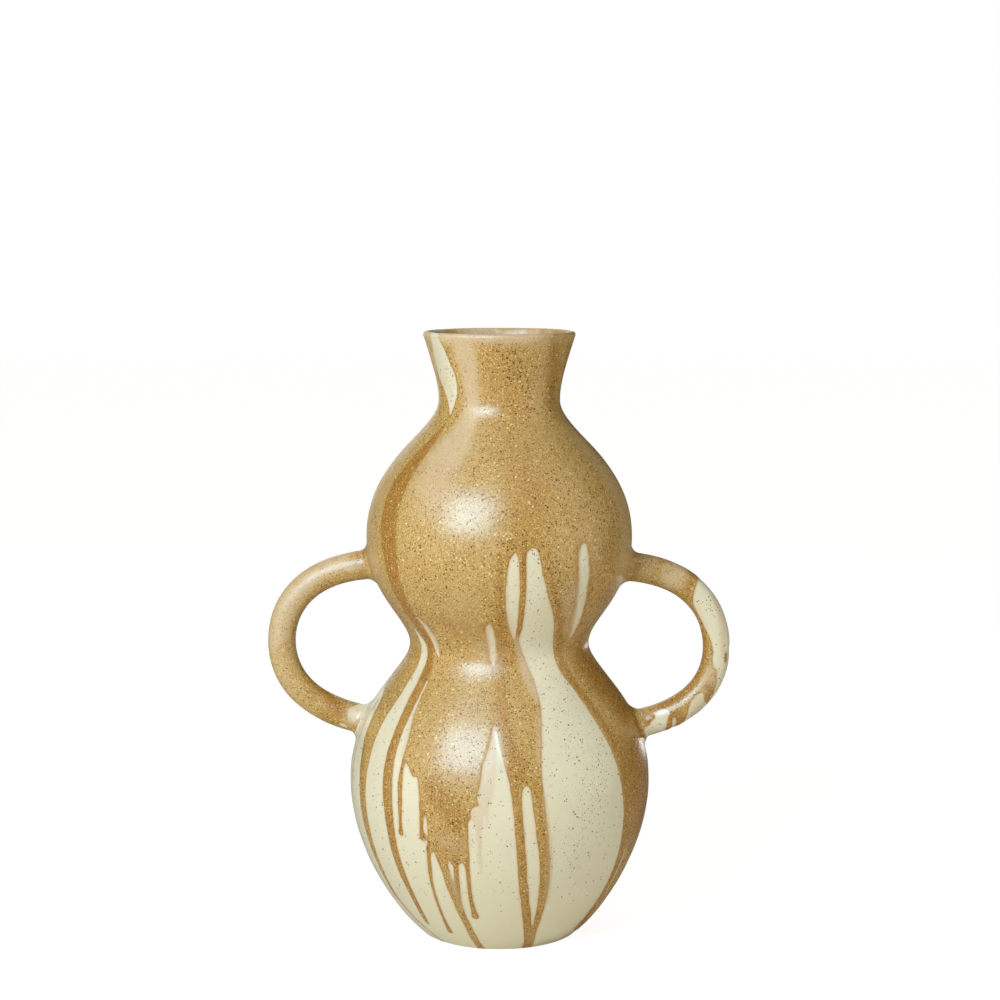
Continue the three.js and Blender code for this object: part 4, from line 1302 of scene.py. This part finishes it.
def poured_glaze_group():
    """Node group for the poured glazes, with some painted light and shade among them, read from the
    glaze values of the surface.
    """
    name = "Poured Glaze"
    if name in bpy.data.node_groups:
        return bpy.data.node_groups[name]
    group = bpy.data.node_groups.new(name, "ShaderNodeTree")
    for label in GLAZE_COLOURS:
        group.interface.new_socket(label, in_out="INPUT", socket_type="NodeSocketColor")
    for label, kind in (("Color", "Color"), ("Roughness", "Float"), ("Height", "Float")):
        group.interface.new_socket(label, in_out="OUTPUT", socket_type="NodeSocket" + kind)
    wires = Wires(group)
    given = wires.add("NodeGroupInput").outputs
    place = wires.add("ShaderNodeTexCoord").outputs["Object"]
    cover, caramel, veil, deep, pepper, lining, bare = (
        wires.value("ShaderNodeAttribute", "Fac", attribute_type="GEOMETRY",
                    attribute_name="glaze_" + field)
        for field in ("cover", "caramel", "veil", "deep", "pepper", "lining", "bare"))
    fine = wires.noise(place, 1300.0, 2.0, 0.6)
    grain = wires.noise(place, 520.0, 3.0, 0.65)
    cloud = wires.noise(place, 42.0, 3.0)
    drift = wires.noise(place, 120.0, 3.0, 0.6)
    sowing = wires.noise(place, 300.0, 0.0)
    specks = {kind: wires.specks(place, *numbers) for kind, numbers in SPECKS.items()}

    # where the brown begins, with an edge as ragged as a fired one
    edge = cover + (grain - 0.5) * 0.5
    brown_share = wires.step(-0.30, 0.35, edge)
    halo = wires.step(-1.5, -0.1, edge)
    inner_rim = wires.step(1.5, 0.2, edge)

    # brown, from thin to thick, with some veil patches that are painted light and a little painted
    # shade over the deep glaze
    tone = wires.step(0.34, 0.66, grain * 0.35 + fine * 0.65)
    light_brown = wires.coats(given["Brown"], (0.30, given["Light Specks"]))
    dark_brown = wires.coats(given["Brown"], (0.16, given["Dark Specks"]))
    streak = wires.coats(given["Caramel"], (tone * 0.3, given["Brown"]))
    brown = wires.coats(
        dark_brown,
        (tone, light_brown),
        (wires.step(0.36, 0.70, cloud) * 0.2, given["Deep Brown"]),
        (deep * 0.8, given["Deep Brown"]),
        (inner_rim * 0.45, given["Caramel"]),
        # veil: milky glaze, in some patches painted light
        (veil * wires.step(-0.1, 0.6, drift) * 0.85, given["Veil"]),
        (caramel * 0.9, streak),
        # painted shade: a little dark speck colour over the deep glaze darkens the deep band on the
        # shaded right side
        (deep * 0.09, given["Dark Specks"]))

    # specks in the brown, fewer where it ran or is milky
    gain = wires.step(-0.1, 1.1, edge) * (1.0 - caramel * 0.2) * (1.0 - veil * 0.7)
    light = wires.math("MAXIMUM", specks["light"], specks["large light"])
    dark = wires.math("MAXIMUM", specks["dark"], specks["large dark"])
    brown = wires.coats(
        brown,
        (light * gain * 0.85, given["Light Specks"]),
        (specks["pale"] * gain * 0.65, given["Light Specks"]),
        (specks["dust"] * gain * 0.55, given["Dark Specks"]),
        (dark * gain * (wires.step(0.35, 0.6, cloud) * 0.35 + 0.65), given["Dark Specks"]),
        (specks["sprinkled"] * pepper * gain, given["Dark Specks"]))

    # cream with iron specks, and the pinkish line where the brown drew back from it
    iron = specks["iron"] * wires.math("LESS_THAN", sowing, pepper * 0.15 + 0.375)
    cream = wires.coats(
        given["Cream"],
        (cloud * 0.12, given["Veil"]),
        (halo * 0.55, given["Veil"]),
        (veil * 0.75, given["Veil"]),
        (iron * 0.9, given["Iron Specks"]),
        (specks["iron dust"] * (pepper * 0.8 + 0.2) * 0.6, given["Iron Specks"]))

    # the mixed glaze inside, and the clay under the foot
    inside = wires.coats(
        given["Veil"],
        (wires.step(0.36, 0.62, drift), given["Brown"]),
        (specks["dust"] * 0.35, given["Dark Specks"]))
    clay = wires.coats(given["Bare Clay"], (grain * 0.5, given["Brown"]))

    color = wires.coats(cream, (brown_share, brown), (lining, inside), (bare, clay))
    gloss = fine * 0.10 + gain * grain * 0.08 + veil * 0.22 + bare * 0.45 + 0.19
    lift = (fine - 0.5) * 0.35 * (gain * 1.1 + 0.25)
    lift = lift + light * gain * 0.22 - dark * gain * 0.2 - iron * 0.2
    wires.add("NodeGroupOutput", {"Color": color, "Roughness": gloss, "Height": lift})
    return group


def glaze_material(name, settings):
    """A glazed surface: the poured glazes over a satin shader with fine bumps."""
    if name in bpy.data.materials:
        return bpy.data.materials[name]
    material, wires = new_material(name)
    group = wires.add("ShaderNodeGroup", node_tree=poured_glaze_group())
    for label, key in GLAZE_COLOURS.items():
        group.inputs[label].default_value = getattr(settings, key)
    bump = wires.add("ShaderNodeBump", {"Height": group.outputs["Height"], "Strength": 0.8,
                                        "Distance": 0.2 * MM})
    shader = wires.add("ShaderNodeBsdfPrincipled", {
        "Base Color": group.outputs["Color"], "Roughness": group.outputs["Roughness"],
        "Normal": bump.outputs["Normal"], "IOR": 1.5})
    wires.add("ShaderNodeOutputMaterial", {"Surface": shader.outputs["BSDF"]})
    return material


def floor_material():
    """Pale floor: the camera sees it white, a little darker in the vase's shadow."""
    material, wires = new_material("Studio Floor")
    seen = wires.seen()
    shade = wires.coats((0.95, 0.9, 0.8, 1.0), (seen, (0.34, 0.34, 0.34, 1.0)))
    pale = wires.add("ShaderNodeBsdfDiffuse", {"Color": shade})
    glow = wires.add("ShaderNodeEmission", {"Color": (*WHITE, 1.0), "Strength": seen * FLOOR_GLOW})
    both = wires.add("ShaderNodeAddShader", {0: pale.outputs[0], 1: glow.outputs[0]})
    wires.add("ShaderNodeOutputMaterial", {"Surface": both.outputs[0]})
    return material


def card_material(name, shade):
    """Plain matt grey."""
    material, wires = new_material(name)
    grey = wires.add("ShaderNodeBsdfDiffuse", {"Color": (shade, shade, shade, 1.0)})
    wires.add("ShaderNodeOutputMaterial", {"Surface": grey.outputs[0]})
    return material


# Stage


def sheet(name, low, high, material):
    """Adds a flat rectangle between two opposite corners that share one coordinate."""
    low, high = np.array(low), np.array(high)
    first, second = np.flatnonzero(low != high)
    corners = [low.copy(), low.copy(), high, low.copy()]
    corners[1][first] = high[first]
    corners[3][second] = high[second]
    mesh = bpy.data.meshes.new(name)
    mesh.from_pydata([corner.tolist() for corner in corners], [], [(0, 1, 2, 3)])
    mesh.materials.append(material)
    piece = bpy.data.objects.new(name, mesh)
    bpy.context.scene.collection.objects.link(piece)
    return piece


def softbox(name, place, target, sides, power, tint):
    """Adds a rectangular area light that faces a point."""
    light = bpy.data.lights.new(name, "AREA")
    light.shape = "RECTANGLE"
    light.size, light.size_y = sides
    light.energy = power
    light.color = tint
    lamp = bpy.data.objects.new(name, light)
    lamp.location = place
    x, y, z = np.subtract(target, place)
    lamp.rotation_euler = (math.pi / 2 + math.atan2(z, math.hypot(x, y)), 0.0,
                           math.atan2(y, x) - math.pi / 2)
    bpy.context.scene.collection.objects.link(lamp)
    return lamp


def studio_world(ambient):
    """White where the camera looks past the vase, and even dim light on the vase itself."""
    world = bpy.data.worlds.new("Studio")
    world.use_nodes = True
    wires = Wires(world.node_tree)
    seen = wires.seen()
    room, white = (wires.add("ShaderNodeBackground", {"Color": (*tint, 1.0), "Strength": strength})
                   for tint, strength in (((1.0, 0.97, 0.9), ambient), (WHITE, 1.0)))
    mixed = wires.add("ShaderNodeMixShader", {0: seen, 1: room.outputs[0], 2: white.outputs[0]})
    wires.add("ShaderNodeOutputWorld", {"Surface": mixed.outputs[0]})
    return world


# Operators


class VASE_OT_body(bpy.types.Operator):
    """Throw the two bulbs and the neck, and glaze them as one body"""

    bl_idname = "vase.body"
    bl_label = "Throw the Body"

    def execute(self, context):
        size, settings = context.scene.vase_body, context.scene.vase_glaze
        skin = BodySkin(size, settings)
        outline = skin.outline
        pale = glaze_material("Pale Glaze", settings)
        brown = glaze_material("Speckled Brown Glaze", settings)
        half_gap = size.slip_gap / 2
        waist_out, neck_out = (outline.place_at(seam) for seam in (size.waist_seam, size.neck_seam))

        def inside(start, end, spacing=INNER_ROW):
            """Inside of the wall between two heights."""
            return outline.wall_point(rows_between(start, end, spacing), 1.0)

        ring_inside = size.foot_radius - size.foot_ring
        recess = (ring_inside - RING_BEVEL, size.foot_recess)
        under = [("bare", level(POLE_RING, recess[0], size.foot_recess, FLAT_ROWS)),
                 *sharp(recess, (ring_inside, 0.0)),
                 ("bare", level(ring_inside, size.foot_radius, 0.0, RING_ROWS))]
        wall = inside(size.waist_seam + size.lap - half_gap, WALL_FOOT)
        curve = corner_curve(wall[-1], unit(wall[-2] - wall[-1]), size.floor_top)
        floor = level(curve[-1, 0], POLE_RING, size.floor_top, FLAT_ROWS)
        behind = [*sharp(waist_out, *outline.lap(size.waist_seam, 1)),
                  ("lining", wall), ("lining", curve), ("lining", floor)]
        mesh = skin.section("LowerBulb", 0, skin.waist_row, under, behind,
                            ((0.0, 0.0, size.foot_recess), (0.0, 0.0, size.floor_top)))
        show("LowerBulb", mesh, pale, "lower_bulb")

        wall = inside(size.neck_seam + size.lap - half_gap, size.waist_seam + size.lap + half_gap)
        behind = [*sharp(neck_out, *outline.lap(size.neck_seam, 1)), ("lining", wall),
                  *sharp(*outline.lap(size.waist_seam, -1), waist_out)]
        mesh = skin.section("UpperBulb", skin.waist_row, skin.neck_row, [], behind)
        show("UpperBulb", mesh, brown, "upper_bulb")

        wall = inside(outline.side[-1, 1], size.neck_seam + size.lap + half_gap, MOUTH_ROW)
        wall[0] = outline.points[-1]
        behind = [("lining", wall), *sharp(*outline.lap(size.neck_seam, -1), neck_out)]
        mesh = skin.section("Neck", skin.neck_row, skin.last_row, [], behind)
        show("Neck", mesh, brown, "neck")
        return {"FINISHED"}


class VASE_OT_handles(bpy.types.Operator):
    """Pull the two loop handles and lute them to the bulbs"""

    bl_idname = "vase.handles"
    bl_label = "Pull the Handles"

    def execute(self, context):
        settings, size = context.scene.vase_glaze, context.scene.vase_handles
        outline = Outline(context.scene.vase_body)
        material = glaze_material("Speckled Brown Glaze", settings)
        for name, node, side, heights, marks, seed in (
                ("LeftHandle", "left_handle", -1, size.left_heights, LEFT_MARKS, LEFT_SEED),
                ("RightHandle", "right_handle", 1, size.right_heights, RIGHT_MARKS, RIGHT_SEED)):
            mesh = handle_mesh(name, outline, size, settings, side, heights, marks, seed)
            show(name, mesh, material, node)
        return {"FINISHED"}


class VASE_OT_stage(bpy.types.Operator):
    """Set up the floor, the lights and the camera"""

    bl_idname = "vase.stage"
    bl_label = "Set the Stage"

    def execute(self, context):
        scene, settings = context.scene, context.scene.vase_studio
        floor = sheet("StudioFloor", (-FLOOR_HALF, -FLOOR_HALF, FLOOR_LEVEL),
                      (FLOOR_HALF, FLOOR_HALF, FLOOR_LEVEL), floor_material())
        for name, place, target, sides, setting, tint, blind in LIGHTS:
            lamp = softbox(name, place, target, sides, getattr(settings, setting), tint)
            setattr(lamp, blind, False)
        for name, low, high, shade in CARDS:
            card = sheet(name, low, high, card_material(name, shade))
            card.visible_camera = card.visible_diffuse = card.visible_shadow = False
        scene.world = studio_world(settings.ambient)

        camera = bpy.data.cameras.new("PhotoCamera")
        camera.lens = settings.focal_length
        camera.sensor_width = SENSOR_WIDTH
        camera.sensor_fit = "HORIZONTAL"
        holder = bpy.data.objects.new("PhotoCamera", camera)
        holder.location = settings.camera_place
        holder.rotation_euler = (math.pi / 2 - settings.camera_pitch, 0.0, 0.0)
        scene.collection.objects.link(holder)
        scene.camera = holder
        scene.view_settings.view_transform = "Standard"
        return {"FINISHED"}


class VASE_PT_panel(bpy.types.Panel):
    """Lists the vase's pieces and their settings"""

    bl_idname = "VASE_PT_panel"
    bl_label = "Stoneware Vase"
    bl_space_type = "VIEW_3D"
    bl_region_type = "UI"
    bl_category = "Vase"

    def draw(self, context):
        layout = self.layout
        for operator in (VASE_OT_body, VASE_OT_handles, VASE_OT_stage):
            layout.operator(operator.bl_idname)
        for name in GROUPS:
            box = layout.box()
            group = getattr(context.scene, name)
            for setting in group.__annotations__:
                box.prop(group, setting)


GROUPS = {"vase_body": VaseBodySizes, "vase_handles": VaseHandleSizes,
          "vase_glaze": VaseGlazeSettings, "vase_studio": VaseStudioSettings}
CLASSES = (*GROUPS.values(), VASE_OT_body, VASE_OT_handles, VASE_OT_stage, VASE_PT_panel)


def register():
    for each in CLASSES:
        bpy.utils.register_class(each)
    for name, group in GROUPS.items():
        setattr(bpy.types.Scene, name, bpy.props.PointerProperty(type=group))


def unregister():
    for name in GROUPS:
        delattr(bpy.types.Scene, name)
    for each in reversed(CLASSES):
        bpy.utils.unregister_class(each)


def main():
    register()
    bpy.ops.vase.body()
    bpy.ops.vase.handles()
    bpy.ops.vase.stage()


if __name__ == "__main__":
    main()
